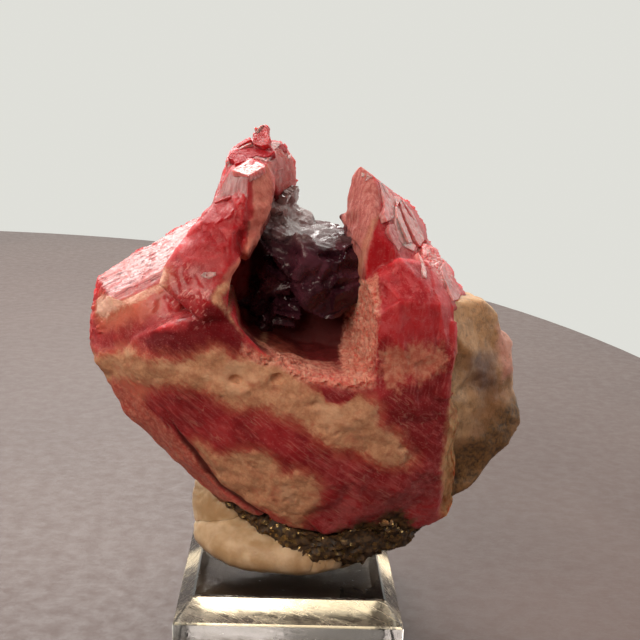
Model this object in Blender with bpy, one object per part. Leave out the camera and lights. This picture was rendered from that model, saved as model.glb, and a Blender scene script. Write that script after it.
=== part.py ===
"""A rhodochrosite specimen with purple fluorite in its vug, held by mineral tack on a bevelled acrylic base.

Run with: blender --background --python part.py
Sizes and corner points are in millimetres and become metres as each shape is made. +X is the viewer's
right, +Y points away from the viewer and +Z is up. The origin is the centre of the base's underside.
"""

from math import radians

import bmesh
import bpy
from mathutils import Euler, Matrix, Vector, noise

MM = 0.001

# Base: a square of clear acrylic with a bevelled top
BASE_SIDE = 38.1
BASE_HEIGHT = 12.7
BEVEL_RUN = 3.0
BEVEL_DROP = 3.5
BASE_EDGE = 0.25

# Mineral tack: lobes of a kneaded lump (centre, radii), pressed flat where it meets the base
TACK_LOBES = [((0.5, 0.8, 16.5), (16.8, 12.3, 5.6)), ((-9.6, 3.2, 21.0), (7.3, 7.2, 8.8)),
              ((9.0, 3.5, 18.0), (7.8, 8.0, 5.5))]
TACK_FOOT = 13.0

# Clearance that separate pieces keep from each other, as the growth of the shape that cuts them
SKIN = 0.42

# Broken surfaces: the size of their facets and how far these stand in or out
BODY_GRAIN = 5.2
BODY_RELIEF = 0.5
MATRIX_GRAIN = 5.0
MATRIX_RELIEF = 1.1

# Main mass: a thick slab with a broken face towards the viewer, narrowing downwards
BODY = [
    (-36, 0, 51), (-34, -3, 48.5), (-29.5, -3, 39.5), (-21.5, -3, 32), (-12.5, -5, 24.5), (-5.5, -8, 24),
    (-0.5, -11.5, 22.7), (5.5, -12.5, 22.7), (9, -12.5, 23.5), (19, -11, 25), (20.5, -9, 21.3),
    (27.5, -7, 23), (29.3, -6, 25.5), (27, -9.5, 28), (25.5, -12, 38), (26, -13, 55), (25.5, -11, 60),
    (-20, -9, 39.5), (-8, -11, 27.5), (-24, -11.5, 52), (-21, -12, 58), (-14, -13.5, 60.6), (-8.5, -14.3, 56.5),
    (-33, -4.2, 50.5),
    (3.5, -15, 51), (16, -16, 48), (1, -16, 35.5), (17.5, -14.5, 31.5), (12, -16.5, 48),
    (-34, 9, 51), (-27, 10, 37), (-13, 9, 26), (4, 9, 23), (24, 9, 26), (28, 11, 34), (29, 13, 50),
    (27, 13, 58), (-13, 15, 62), (9, 15, 62), (-30, 12, 55),
]
# Left wedge: a rhomb lying on its side, whose striated top face slopes up to the right
LEFT_WEDGE = [
    (-35.5, 6, 61.5), (-30, 8, 65.2), (-13, 11, 75.3), (-32, -2, 60), (-14, -2, 69.3), (-36, 4, 57.5),
    (-35, 0, 55.5), (-36, 0, 51.5), (-27, -6.5, 59), (-24, -9.5, 53), (-33.8, -2.8, 49.5), (-34.5, 13, 57),
    (-31, 14, 50), (-14, 17, 69), (-13, 14, 52),
]
# Broken lump that stands forward under the left spire
MIDDLE_LUMP = [
    (-16, -4, 75.5), (-12, -6, 78), (-10.5, -8, 79), (-9.3, -10, 78), (-19, -6, 71.5), (-20.5, -8, 69.5),
    (-22.3, -9, 66.5), (-22.3, -11, 64), (-19.5, -13, 62), (-15.5, -14, 59), (-13.5, -15, 62.5),
    (-9.6, -12, 68.5), (-8.9, -10.4, 75), (-11.6, -14, 60), (-16, 6, 72), (-10, 2, 73), (-14, 3, 60),
    (-20, 5, 60),
]
# Left spire: the upright corner of a rhomb, the broken mass on and behind it and the chip on top
SPIRE_CORNER = [
    (-12, -5, 82), (-9, -9, 81.5), (-6, -5, 83), (-8.5, -4, 84), (-15, -4, 76), (-8.7, -11, 69.5),
    (-5, -5, 80.5), (-5, -5, 77.5), (-7.3, -5.5, 72), (-8.5, -7, 67), (-13.5, 5, 82), (-13, 8, 68),
    (-6, 5, 82), (-7.5, 5, 66), (-16, 2, 70),
]
SPIRE_CROWN = [
    (-13, -2, 83), (-12.5, 0, 84.5), (-11, 4, 85.6), (-9, 4, 86.5), (-6.5, 2, 86.6), (-6, -4, 83.3),
    (-4, 6, 86), (-2, 7, 83.5), (-1.4, 7, 81), (-1.2, 7.5, 79), (-10.5, 0, 76), (-4.5, 1, 78),
    (-11.5, 10, 81), (-4, 11, 80), (-9, 12, 70), (-4.5, 9, 70), (-12, 8, 68), (-3, 9.5, 76),
]
SPIRE_CHIP = [
    (-8.5, 2, 88), (-7.5, 2, 88.5), (-6.4, 2.5, 89), (-6.4, 2, 86), (-9.2, 1, 85.3), (-8.5, 5, 88),
    (-7, 5, 88.5), (-6.4, 5, 85.5), (-9.2, 5, 85),
]
SPIRE_ROOT = [
    (-18, 4, 66), (-9, 10, 72), (-5, 9, 72), (-5, 13, 66), (-16, 16, 68), (-4, 15, 58), (-16, 4, 56),
    (-8, 4, 56), (-8.5, 5, 68),
]
# Right spire: a leaning blade with a sharp tip, and a spur on its left side
RIGHT_SPIRE = [
    (9, 0, 83), (10.5, 0, 82.2), (8, 1, 81.5), (7.5, 1, 79.3), (7.3, 2, 75), (7.3, -1, 71), (8, -3, 69),
    (9, -7, 65), (11.5, -2, 81.5), (11.6, -5, 77), (11, -8, 73), (9.7, -8.5, 65), (13, -4, 77),
    (13.7, -5, 74), (15.2, -8, 70), (12.5, 3, 80.5), (15, 4, 78.7), (16.5, 5, 77.7), (18, 6, 76.3),
    (20, 7, 74), (21.5, 7, 71.5), (25, 7, 66.5), (20, -4, 66), (26, 8, 60), (10, 8, 72), (9, 11, 62),
    (19, 12, 64),
]
SPIRE_SPUR = [
    (6.2, 3, 74.2), (6, 5, 73.7), (6.4, 1.5, 72.3), (7.5, -1, 70.5), (8.2, -3, 68.5), (8.5, 1, 76),
    (8.5, 6, 74), (8.5, 6, 66), (9, 0, 66),
]
# Parallel plates that step down the right side of that spire, and the ledges under them
PLATES = [
    [(12.6, -1.2, 80.6), (13.4, -1.6, 79.0), (16.4, -1.6, 72.5), (17.6, -0.4, 70.6), (18.8, 2.2, 71.6),
     (16.0, 4.2, 77.6), (14.2, 3.6, 79.4), (14, 4, 74), (16, 3, 70)],
    [(16.4, 2.6, 77.9), (17.9, 2.4, 75.6), (20.4, 2.0, 71.2), (22.0, 3.4, 70.2), (21.8, 6.8, 72.2),
     (19.8, 6.6, 74.9), (18.2, 6.0, 77.0), (17, 6, 73), (20, 5, 69)],
    [(14.4, -4.4, 75.2), (15.2, -4.8, 73.0), (17.2, -4.4, 69.7), (18.8, -2.8, 69.4), (18.0, -1.2, 72.0),
     (15.6, -2.2, 76.0), (15, -2, 72), (17, -2, 68)],
]
LEDGES = [
    [(19.5, -4.6, 69.0), (22.2, -4.4, 67.4), (24.3, -2.4, 66.4), (23.2, 1.5, 69.6), (20.4, 1.5, 70.6),
     (21, 0, 64), (23, 0, 63)],
    [(22.8, -4.9, 65.4), (25.6, -3.6, 63.6), (27.0, -0.6, 63.8), (26.4, 4.0, 66.0), (23.6, 3.5, 68.4),
     (24, 0, 61), (26, 0, 60)],
    [(25.0, -6.8, 62.6), (27.6, -5.2, 60.8), (29.0, -1.0, 60.6), (28.8, 4.5, 62.4), (26.6, 4.0, 64.2),
     (26, 0, 57), (27, 0, 56)],
]
# Broken flank under the right spire, down to the main mass
RIGHT_FLANK = [
    (9.5, -7.5, 65.5), (12, -11, 66.5), (15.5, -9.5, 69.7), (19, -7, 69.3), (23.5, -2, 68), (25.5, 0, 65.5),
    (28.5, 3, 61.5), (27.5, -6, 60.5), (26.3, -12.5, 47), (12, -14, 61), (12, -15.7, 53), (11, -15.5, 50),
    (8.5, -5, 52), (8.7, -4, 63), (29, 12, 55), (24, 13, 63), (9, 14, 62), (9, 12, 43), (15.5, -14.3, 63.5),
    (22, -13, 63),
]
# Vug: the hollow that opens forward below the notch between the spires, flaring to the right
VUG = [
    (-7.6, -24, 69), (-9.6, -24, 64), (-9.7, -24, 60.5), (-7.4, -24, 58), (-4, -24, 54.6), (2, -24, 50.9),
    (10, -24, 50.3), (14.2, -24, 51), (14, -24, 59), (13.2, -24, 65), (7, -24, 74), (-4, -24, 76),
    (-9.8, 4, 67), (-11.8, 5, 61), (-9.6, 4, 55), (0, 3, 51.7), (8.4, 0, 51.7), (8.7, 1, 58), (8.4, 3, 66),
    (6.4, 9, 74), (-1, 11, 76), (-5.5, 8, 74),
]
# Low wall that closes the notch behind the fluorite
BACK_WALL = [
    (-7, 9.5, 69.5), (-2, 11, 68), (4, 11.5, 66.5), (9.5, 9, 69), (-9, 14.2, 60), (11, 14, 60), (-8, 14.6, 67),
    (3, 15.2, 65), (10, 13.6, 66), (-7, 9, 60), (9, 9, 60),
]
# Small pits in the broken face (centre, radius)
PITS = [((2.4, -16.0, 46.4), 1.3), ((-10.0, -13.6, 49.6), 0.9), ((-3.5, -14.8, 50.4), 1.1),
        ((17.5, -15.2, 39.2), 1.0)]

# Fluorite: cubes grown into each other, rounded where they met the walls
FLUORITE = [
    [(-1.6, -4.6, 69), (-1.6, -5, 63), (0.8, -5.2, 59.7), (4, -4.6, 57.8), (7, -4.6, 58.5), (8.6, -4, 60.3),
     (9.2, -3.6, 64), (9, -3.4, 67.5), (7.6, -3, 69.8), (6, -3, 70.5), (3, -3.4, 71.2), (1.2, -3.2, 71.8),
     (-1, -3, 71.8), (-1, 9, 72.2), (5, 10, 72.4), (8.3, 8, 71.6), (8.5, 3, 71), (8, 7, 62), (-1, 9, 61),
     (0.4, -5.8, 68.6), (6.6, -5.3, 67.6), (7.4, -5.5, 62.6), (2.0, -6.0, 62.2), (5.5, 2, 57)],
    [(-7.2, -1, 72.4), (-7.2, -2.8, 70.5), (-4, -3.8, 66.5), (-1.2, -4.2, 63.3), (-0.3, -3.4, 71.8),
     (-3, 0, 73.6), (-6, 7, 73), (0, 9, 72), (-1, 8, 64), (-6, 5, 69)],
    [(-5.6, 1, 78.8), (-5.2, 0, 74), (-1.5, 5.6, 79.6), (-0.9, 5.5, 75.4), (-0.9, 5.4, 72), (-6.5, 0, 72.5),
     (-3.7, 3.2, 79.8), (-2, 1.2, 73), (-4, 10, 77), (-1, 10, 76), (-3, 6, 70)],
    [(-1.4, 4.6, 75.8), (0.3, 5.8, 75.2), (1.5, 6.2, 73.8), (2.0, 4.4, 71.6), (2.2, 9, 73), (-1, 9.5, 74.5),
     (-2, 6, 70), (-1, 2.4, 72.5)],
]
# Smaller cubes in the hollow's left side (centre, edge, turns in degrees)
SMALL_CUBES = [((-4.6, 1.5, 63.2), 5.4, (35, 20, 25)), ((-7.0, 3.0, 58.6), 4.2, (10, 40, 50)),
               ((-2.6, 1.0, 57.6), 4.4, (50, 15, 10)), ((-5.6, 4.2, 55.0), 3.6, (25, 25, 70))]

# Matrix: pale quartz at the right and behind, ending in a dark crust below the crystals
MATRIX = [
    (26.5, -8, 62), (31.5, -3, 61.5), (34.5, -1, 59), (36, 1, 57), (38, 2, 53.5), (38, 1, 47.5),
    (39.5, 0, 44), (40.8, 0, 41), (41, 0, 39), (37.5, -1, 35), (34, -2, 31.5), (30.7, -4, 27.5),
    (29, -6, 25), (26.8, -10, 46.5), (26.3, -10, 58), (27, -8.5, 34),
    (19, -8.5, 18.3), (10.5, -9.5, 16), (3, -10.5, 15.4), (-1.5, -9, 15.3), (-5, -7.5, 18), (-12.3, -4, 24),
    (-0.5, -12, 22.0), (9, -13, 22.6), (19.5, -10.5, 20.3), (31, 12, 60), (37, 12, 52), (39, 13, 42),
    (35, 13, 30), (25, 13, 20), (28, 22, 50), (24, 22, 36), (2, 24, 42), (4, 20, 22), (10, 12, 15.5),
    (-4, 8, 15.8), (-19, 20, 38), (-23, 20.5, 47), (-19, 21, 57), (-10, 14, 21), (-2, 24, 59), (16, 23, 61),
    (-21, 13, 45), (-16, 13, 32),
]


def clear_scene():
    for obj in list(bpy.data.objects):
        bpy.data.objects.remove(obj)


def collection(name):
    made = bpy.data.collections.new(name)
    bpy.context.scene.collection.children.link(made)
    return made


def material(name, colour, roughness, metallic=0.0, transmission=0.0):
    made = bpy.data.materials.new(name)
    made.use_nodes = True
    shader = made.node_tree.nodes["Principled BSDF"]
    shader.inputs["Base Color"].default_value = (*colour, 1.0)
    shader.inputs["Roughness"].default_value = roughness
    shader.inputs["Metallic"].default_value = metallic
    shader.inputs["Transmission Weight"].default_value = transmission
    return made


def finish(bm, name, place, skin=None):
    """The bmesh, which is in millimetres, as an object in metres."""
    bmesh.ops.recalc_face_normals(bm, faces=bm.faces)
    bmesh.ops.scale(bm, vec=(MM, MM, MM), verts=bm.verts)
    mesh = bpy.data.meshes.new(name)
    bm.to_mesh(mesh)
    bm.free()
    obj = bpy.data.objects.new(name, mesh)
    place.objects.link(obj)
    if skin:
        obj.data.materials.append(skin)
    else:
        obj.hide_render = True
        obj.display_type = "WIRE"
    return obj


def hull(corners):
    """A flat-faced block whose corners are these points."""
    bm = bmesh.new()
    for corner in corners:
        bm.verts.new(corner)
    found = bmesh.ops.convex_hull(bm, input=bm.verts)
    spare = [e for e in found["geom_interior"] if isinstance(e, bmesh.types.BMVert)]
    bmesh.ops.delete(bm, geom=spare, context="VERTS")
    bmesh.ops.dissolve_limit(bm, angle_limit=radians(1), verts=bm.verts, edges=bm.edges)
    return bm


def roughen(bm, grain, relief, seed):
    """Breaks flat faces into facets about grain wide and moves their corners in or out by about relief."""
    bmesh.ops.triangulate(bm, faces=bm.faces)
    for _ in range(8):
        wide = [e for e in bm.edges if e.calc_length() > 1.4 * grain]
        if not wide:
            break
        bmesh.ops.subdivide_edges(bm, edges=wide, cuts=1)
        bmesh.ops.triangulate(bm, faces=bm.faces)
    bmesh.ops.beautify_fill(bm, faces=bm.faces, edges=bm.edges)
    bm.normal_update()
    moves = []
    for v in bm.verts:
        broad = noise.noise(v.co / (3 * grain) + Vector((seed, 0, 0)))
        fine = noise.cell(v.co / (0.9 * grain) + Vector((0, seed, 0))) - 0.5
        moves.append(v.normal * relief * (0.9 * broad + 0.8 * fine))
    for v, move in zip(bm.verts, moves):
        v.co += move
    return bm


def ball(centre, radii, rings=8, around=14):
    bm = bmesh.new()
    place = Matrix.Translation(centre) @ Matrix.Diagonal((*radii, 1))
    bmesh.ops.create_uvsphere(bm, u_segments=around, v_segments=rings, radius=1, matrix=place)
    return bm


def boolean(obj, other, operation, overlaps=False):
    """overlaps is for a cutter whose own faces may cross each other."""
    step = obj.modifiers.new(f"{operation.lower()} {other.name}", "BOOLEAN")
    step.operation = operation
    step.object = other
    step.solver = "EXACT"
    step.use_self = overlaps


def pieces_of(bm):
    """The mesh's separate pieces, smallest first, as lists of faces that join along their edges."""
    pieces, seen = [], set()
    for start in bm.faces:
        if start in seen:
            continue
        seen.add(start)
        piece = [start]
        for face in piece:
            for edge in face.edges:
                for other in edge.link_faces if len(edge.link_faces) == 2 else ():
                    if other not in seen:
                        seen.add(other)
                        piece.append(other)
        pieces.append(piece)
    return sorted(pieces, key=len)


def settle(obj):
    """Applies obj's modifiers and keeps its largest connected piece, without slivers or loose flaps."""
    graph = bpy.context.evaluated_depsgraph_get()
    mesh = bpy.data.meshes.new_from_object(obj.evaluated_get(graph))
    obj.modifiers.clear()
    obj.data = mesh
    bm = bmesh.new()
    bm.from_mesh(mesh)
    bmesh.ops.dissolve_degenerate(bm, dist=0.02 * MM, edges=bm.edges)
    bmesh.ops.triangulate(bm, faces=bm.faces)
    loose = [f for f in bm.faces if any(e.is_boundary for e in f.edges)]
    while loose:
        bmesh.ops.delete(bm, geom=loose, context="FACES")
        loose = [f for f in bm.faces if any(e.is_boundary for e in f.edges)]
    for piece in pieces_of(bm)[:-1]:
        bmesh.ops.delete(bm, geom=piece, context="FACES")
    bmesh.ops.delete(bm, geom=[e for e in bm.edges if e.is_wire], context="EDGES")
    bm.to_mesh(mesh)
    bm.free()
    return obj


def inflated(obj, cutters):
    """A copy of obj grown by SKIN, for cutting its neighbours clear of it."""
    grown = bpy.data.objects.new(f"{obj.name} skin", obj.data.copy())
    cutters.objects.link(grown)
    push = grown.modifiers.new("skin", "DISPLACE")
    push.strength = SKIN * MM
    push.mid_level = 0.0
    grown.hide_render = True
    grown.display_type = "WIRE"
    return grown


def make_rhodochrosite(part, cutters):
    red = material("rhodochrosite", (0.45, 0.06, 0.07), 0.35)
    main = finish(roughen(hull(BODY), BODY_GRAIN, BODY_RELIEF, 3), "rhodochrosite", part, red)
    rough = (("middle lump", MIDDLE_LUMP, 8), ("right flank", RIGHT_FLANK, 5), ("back wall", BACK_WALL, 6))
    for name, corners, seed in rough:
        bm = roughen(hull(corners), BODY_GRAIN, BODY_RELIEF, seed)
        boolean(main, finish(bm, name, cutters), "UNION")
    flat = [("left wedge", LEFT_WEDGE), ("spire root", SPIRE_ROOT), ("spire corner", SPIRE_CORNER),
            ("spire crown", SPIRE_CROWN), ("spire chip", SPIRE_CHIP), ("right spire", RIGHT_SPIRE),
            ("spire spur", SPIRE_SPUR)]
    flat += [(f"plate {i}", corners) for i, corners in enumerate(PLATES)]
    flat += [(f"ledge {i}", corners) for i, corners in enumerate(LEDGES)]
    for name, corners in flat:
        boolean(main, finish(hull(corners), name, cutters), "UNION")
    vug = finish(hull(VUG), "vug", cutters)
    boolean(main, vug, "DIFFERENCE")
    for i, (centre, radius) in enumerate(PITS):
        pit = finish(ball(centre, (radius * 1.3, radius, radius * 0.8), 5, 7), f"pit {i}", cutters)
        boolean(main, pit, "DIFFERENCE")
    return settle(main), vug


def make_fluorite(part, cutters, crystal_skin):
    purple = material("fluorite", (0.2, 0.1, 0.22), 0.12, transmission=0.6)
    main = finish(hull(FLUORITE[0]), "fluorite", part, purple)
    for i, corners in enumerate(FLUORITE[1:]):
        boolean(main, finish(hull(corners), f"fluorite block {i}", cutters), "UNION")
    for i, (centre, edge, turns) in enumerate(SMALL_CUBES):
        bm = bmesh.new()
        place = Matrix.Translation(centre) @ Euler([radians(t) for t in turns]).to_matrix().to_4x4()
        bmesh.ops.create_cube(bm, size=edge, matrix=place)
        boolean(main, finish(bm, f"fluorite cube {i}", cutters), "UNION")
    boolean(main, crystal_skin, "DIFFERENCE", overlaps=True)
    return settle(main)


def make_matrix(part, cutters, crystals, crystal_skin, vug):
    pale = material("quartz matrix", (0.62, 0.5, 0.34), 0.7)
    rock = finish(roughen(hull(MATRIX), MATRIX_GRAIN, MATRIX_RELIEF, 11), "quartz_matrix", part, pale)
    boolean(rock, vug, "DIFFERENCE")
    boolean(rock, crystal_skin, "DIFFERENCE", overlaps=True)
    return settle(rock)


def make_tack(part, cutters, skins):
    cream = material("mineral tack", (0.78, 0.62, 0.42), 0.6)
    blob = finish(ball(*TACK_LOBES[0], rings=12, around=28), "mineral_tack", part, cream)
    for i, (centre, radii) in enumerate(TACK_LOBES[1:]):
        boolean(blob, finish(ball(centre, radii, 10, 18), f"tack lobe {i}", cutters), "UNION")
    bm = bmesh.new()
    bmesh.ops.create_cube(bm, size=60, matrix=Matrix.Translation((0, 0, TACK_FOOT - 30)))
    boolean(blob, finish(bm, "tack foot", cutters), "DIFFERENCE")
    for skin in skins:
        boolean(blob, skin, "DIFFERENCE", overlaps=True)
    return settle(blob)


def make_base(part):
    clear = material("clear acrylic", (0.9, 0.93, 0.93), 0.03, transmission=1.0)
    bm = bmesh.new()
    straight = BASE_HEIGHT - BEVEL_DROP
    bmesh.ops.create_cube(bm, size=1.0)
    bmesh.ops.scale(bm, vec=(BASE_SIDE, BASE_SIDE, straight), verts=bm.verts)
    bmesh.ops.translate(bm, vec=(0, 0, straight / 2), verts=bm.verts)
    top = max(bm.faces, key=lambda f: f.calc_center_median().z)
    made = bmesh.ops.extrude_face_region(bm, geom=[top])
    bmesh.ops.delete(bm, geom=[top], context="FACES_ONLY")
    raised = [v for v in made["geom"] if isinstance(v, bmesh.types.BMVert)]
    shrink = 1 - 2 * BEVEL_RUN / BASE_SIDE
    bmesh.ops.scale(bm, vec=(shrink, shrink, 1), verts=raised)
    bmesh.ops.translate(bm, vec=(0, 0, BEVEL_DROP), verts=raised)
    bmesh.ops.bevel(bm, geom=bm.edges, offset=BASE_EDGE, segments=1, affect="EDGES")
    return finish(bm, "acrylic_base", part, clear)


def main():
    clear_scene()
    part = collection("rhodochrosite_specimen")
    cutters = collection("cutters")
    crystals, vug = make_rhodochrosite(part, cutters)
    crystal_skin = inflated(crystals, cutters)
    make_fluorite(part, cutters, crystal_skin)
    rock = make_matrix(part, cutters, crystals, crystal_skin, vug)
    make_tack(part, cutters, (crystal_skin, inflated(rock, cutters)))
    make_base(part)


main()
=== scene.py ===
"""A rhodochrosite and purple fluorite specimen on its clear display block.

Everything is in metres with +Z up and the front of the specimen facing -Y. Outlines of the bands
and patches are written in millimetres, as (x, z) on the front of the stone.
"""
import math

import bpy
import numpy as np
from mathutils import Matrix, Vector, noise
from mathutils.bvhtree import BVHTree
from mathutils.kdtree import KDTree


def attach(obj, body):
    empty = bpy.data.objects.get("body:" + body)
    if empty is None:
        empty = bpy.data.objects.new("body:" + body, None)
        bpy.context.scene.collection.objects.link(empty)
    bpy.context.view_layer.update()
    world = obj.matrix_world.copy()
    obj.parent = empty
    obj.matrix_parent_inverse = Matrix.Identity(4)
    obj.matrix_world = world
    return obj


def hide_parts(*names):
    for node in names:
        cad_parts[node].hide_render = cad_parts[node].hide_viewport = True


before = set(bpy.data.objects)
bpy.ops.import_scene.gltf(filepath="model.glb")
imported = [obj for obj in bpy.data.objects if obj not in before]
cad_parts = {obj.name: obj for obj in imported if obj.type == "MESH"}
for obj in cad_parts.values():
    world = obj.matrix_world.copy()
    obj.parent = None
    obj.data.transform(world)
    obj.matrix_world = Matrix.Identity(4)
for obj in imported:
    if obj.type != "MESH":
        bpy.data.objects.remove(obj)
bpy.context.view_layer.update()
bpy.ops.object.select_all(action="DESELECT")


# ---------------------------------------------------------------------------------------------
# Table top: the round table that the block stands on. It is a thin disc with a soft edge, in a
# matt, faintly mottled lacquer. It isn't part of the specimen.
MM = 0.001
TABLE_CENTRE = (-190 * MM, 100 * MM)
TABLE_RADIUS = 342 * MM
TABLE_THICK = 12 * MM
TABLE_GAP = 0.04 * MM  # the thin air film under the block


class Level:
    """One number output of a material; arithmetic on it adds the Math nodes."""

    def __init__(self, finish, socket):
        self.finish, self.socket = finish, socket

    def sum(self, operation, first, second=0.0):
        return self.finish.node("Math", {"operation": operation}, {0: first, 1: second})

    def __add__(self, other):
        return self.sum("ADD", self, other)

    def __sub__(self, other):
        return self.sum("SUBTRACT", self, other)

    def __rsub__(self, other):
        return self.sum("SUBTRACT", other, self)

    def __mul__(self, other):
        return self.sum("MULTIPLY", self, other)

    def __abs__(self):
        return self.sum("ABSOLUTE", self)

    __radd__, __rmul__ = __add__, __mul__

    def most(self, other):
        return self.sum("MAXIMUM", self, other)

    def ramp(self, low, high, bottom=0.0, top=1.0):
        """Goes smoothly from bottom to top as the level goes from low to high."""
        settings = {"interpolation_type": "SMOOTHSTEP"}
        sockets = {"Value": self, "From Min": low, "From Max": high, "To Min": bottom, "To Max": top}
        return self.finish.node("MapRange", settings, sockets)

    def line(self, middle, width):
        """1 along the curves where the level crosses the middle, fading to 0 over the width."""
        return 1 - abs(self - middle).ramp(0.0, width)


class Finish:
    """The wiring of one material, or of the studio's sky. Its node method makes every node."""

    def __init__(self, owner, coordinates="Object"):
        self.owner = owner
        owner.use_nodes = True
        self.tree = owner.node_tree
        self.tree.nodes.clear()
        self.place = self.node("TexCoord", output=coordinates)

    def node(self, kind, settings=None, sockets=None, output=0):
        made = self.tree.nodes.new("ShaderNode" + kind)
        for name, value in (settings or {}).items():
            setattr(made, name, value)
        for name, value in (sockets or {}).items():
            socket = made.inputs[name]
            if isinstance(value, Level):
                self.tree.links.new(value.socket, socket)
            elif socket.type == "RGBA":
                socket.default_value = (*value[:3], 1)
            else:
                socket.default_value = value
        return None if output is None else Level(self, made.outputs[output])

    def mix(self, factor, below, above):
        """The colour below, covered by the colour above as the factor rises."""
        settings = {"data_type": "RGBA", "clamp_factor": True}
        return self.node("Mix", settings, {0: factor, 6: below, 7: above}, 2)

    def layers(self, colour, *coats):
        """A colour under several coats, each a factor and the colour that it covers with."""
        for factor, above in coats:
            colour = self.mix(factor, colour, above)
        return colour

    def along(self, axis):
        """The place along one axis, in mm."""
        return self.node("SeparateXYZ", None, {0: self.place}, axis) * 1000

    def cloud(self, size, detail=3, roughness=0.55, stretch=(1, 1, 1), turn=(0, 0, 0), warp=0.0,
              shift=(0, 0, 0)):
        """Soft noise whose lumps are about size metres across, from 0 to 1."""
        placed = self.node("Mapping", {"vector_type": "TEXTURE"}, {
            "Vector": self.place, "Location": shift, "Rotation": turn,
            "Scale": tuple(size * s for s in stretch)}, "Vector")
        return self.node("TexNoise", None, {
            "Vector": placed, "Scale": 1.0, "Detail": detail, "Roughness": roughness,
            "Distortion": warp}, "Fac")

    def cells(self, size):
        """Cells about size metres across, each with its own random number from 0 to 1."""
        placed = self.node("Mapping", {"vector_type": "TEXTURE"}, {
            "Vector": self.place, "Scale": (size, size, size)}, "Vector")
        colour = self.node("TexVoronoi", None, {"Vector": placed, "Scale": 1.0}, "Color")
        return self.node("SeparateColor", None, {0: colour}, 0)

    def reading(self, name):
        """A number kept on the mesh's own points."""
        return self.node("Attribute", {"attribute_name": name}, None, "Fac")

    def frayed(self, name, noise, fray, low, high, top=1.0):
        """A mask from 0 to top where a reading goes from low to high, its edge frayed by noise."""
        return (self.reading(name) + (noise - 0.5) * fray).ramp(low, high, 0.0, top)

    def bump(self, height, depth):
        """Fine relief depth metres high."""
        return self.node("Bump", None, {"Height": height, "Distance": depth, "Strength": 1.0}, "Normal")

    def principled(self, **sockets):
        """A Principled shader; its sockets are named with underscores for spaces."""
        named = {name.replace("_", " "): value for name, value in sockets.items()}
        return self.node("BsdfPrincipled", None, named, "BSDF")

    def coat(self, **sockets):
        """Ends the material in one Principled shader."""
        self.node("OutputMaterial", None, {"Surface": self.principled(**sockets)}, None)
        return self.owner

    def coats(self, factor, below, above):
        """Ends the material in two shaders; the second covers the first as the factor rises."""
        blend = self.node("MixShader", None, {0: factor, 1: below, 2: above})
        self.node("OutputMaterial", None, {"Surface": blend}, None)
        return self.owner


def reshape(piece, name, kind, **settings):
    """Adds a modifier to the active piece and applies it."""
    change = piece.modifiers.new(name, kind)
    for setting, value in settings.items():
        setattr(change, setting, value)
    bpy.ops.object.modifier_apply(modifier=change.name)


bpy.ops.mesh.primitive_cylinder_add(
    vertices=128, radius=TABLE_RADIUS, depth=TABLE_THICK,
    location=(*TABLE_CENTRE, -TABLE_THICK / 2 - TABLE_GAP))
table = bpy.context.object
table.name = "table_top"
bpy.ops.object.transform_apply(location=True)
reshape(table, "soft edge", "BEVEL", width=2 * MM, segments=3)

lacquer = Finish(bpy.data.materials.new("pale_lacquer"))
brushed = lacquer.cloud(3 * MM, 6, 0.75, stretch=(1.2, 1.0, 1))
clouded = lacquer.cloud(60 * MM, 3)
lacquer_tone = lacquer.mix(
    (clouded * 0.7 + brushed * 0.3).ramp(0.3, 0.7), (0.082, 0.046, 0.040), (0.100, 0.060, 0.052))
table.data.materials.append(lacquer.coat(
    Base_Color=lacquer_tone, Roughness=brushed.ramp(0.3, 0.7, 0.42, 0.6),
    Normal=lacquer.bump(brushed, 0.15 * MM)))

# Camera: a little above the crystals in front of the block, tilted down and slightly turned.
LENS, SENSOR = 50, 36  # mm
CAMERA_PLACE = (-2.9, -148.8, 93.4)  # mm
YAW, PITCH, ROLL = (math.radians(a) for a in (2.5, 13.9, 2.7))
ahead = Vector((math.sin(YAW) * math.cos(PITCH), math.cos(YAW) * math.cos(PITCH), -math.sin(PITCH)))
level_right = Vector((math.cos(YAW), -math.sin(YAW), 0))
level_up = level_right.cross(ahead)
right = level_right * math.cos(ROLL) + level_up * math.sin(ROLL)
up = level_up * math.cos(ROLL) - level_right * math.sin(ROLL)
lens = bpy.data.cameras.new("camera")
lens.lens, lens.sensor_width, lens.clip_start = LENS, SENSOR, 0.005
camera = bpy.data.objects.new("camera", lens)
turned = Matrix((right, up, -ahead)).transposed().to_4x4()
camera.matrix_world = Matrix.Translation(Vector(CAMERA_PLACE) * MM) @ turned
bpy.context.scene.collection.objects.link(camera)
bpy.context.scene.camera = camera

# Light: a wide soft window light behind and above the stone, and a weak warm room light in front.
SPECIMEN_MIDDLE = Vector((-3, 2, 50)) * MM
for name, place, size, power, tint in (
        ("window_light", (-120, 330, 330), 300, 1.5, (1.0, 0.98, 0.95)),
        ("room_light", (-210, -300, 360), 360, 1.75, (1.0, 0.84, 0.70)),
        ("side_light", (330, -60, 160), 260, 0.25, (1.0, 0.90, 0.84))):
    lamp = bpy.data.lights.new(name, "AREA")
    lamp.size, lamp.energy, lamp.color = size * MM, power, tint
    light = bpy.data.objects.new(name, lamp)
    light.location = Vector(place) * MM
    light.rotation_euler = (SPECIMEN_MIDDLE - light.location).to_track_quat("-Z", "Y").to_euler()
    bpy.context.scene.collection.objects.link(light)

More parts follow.
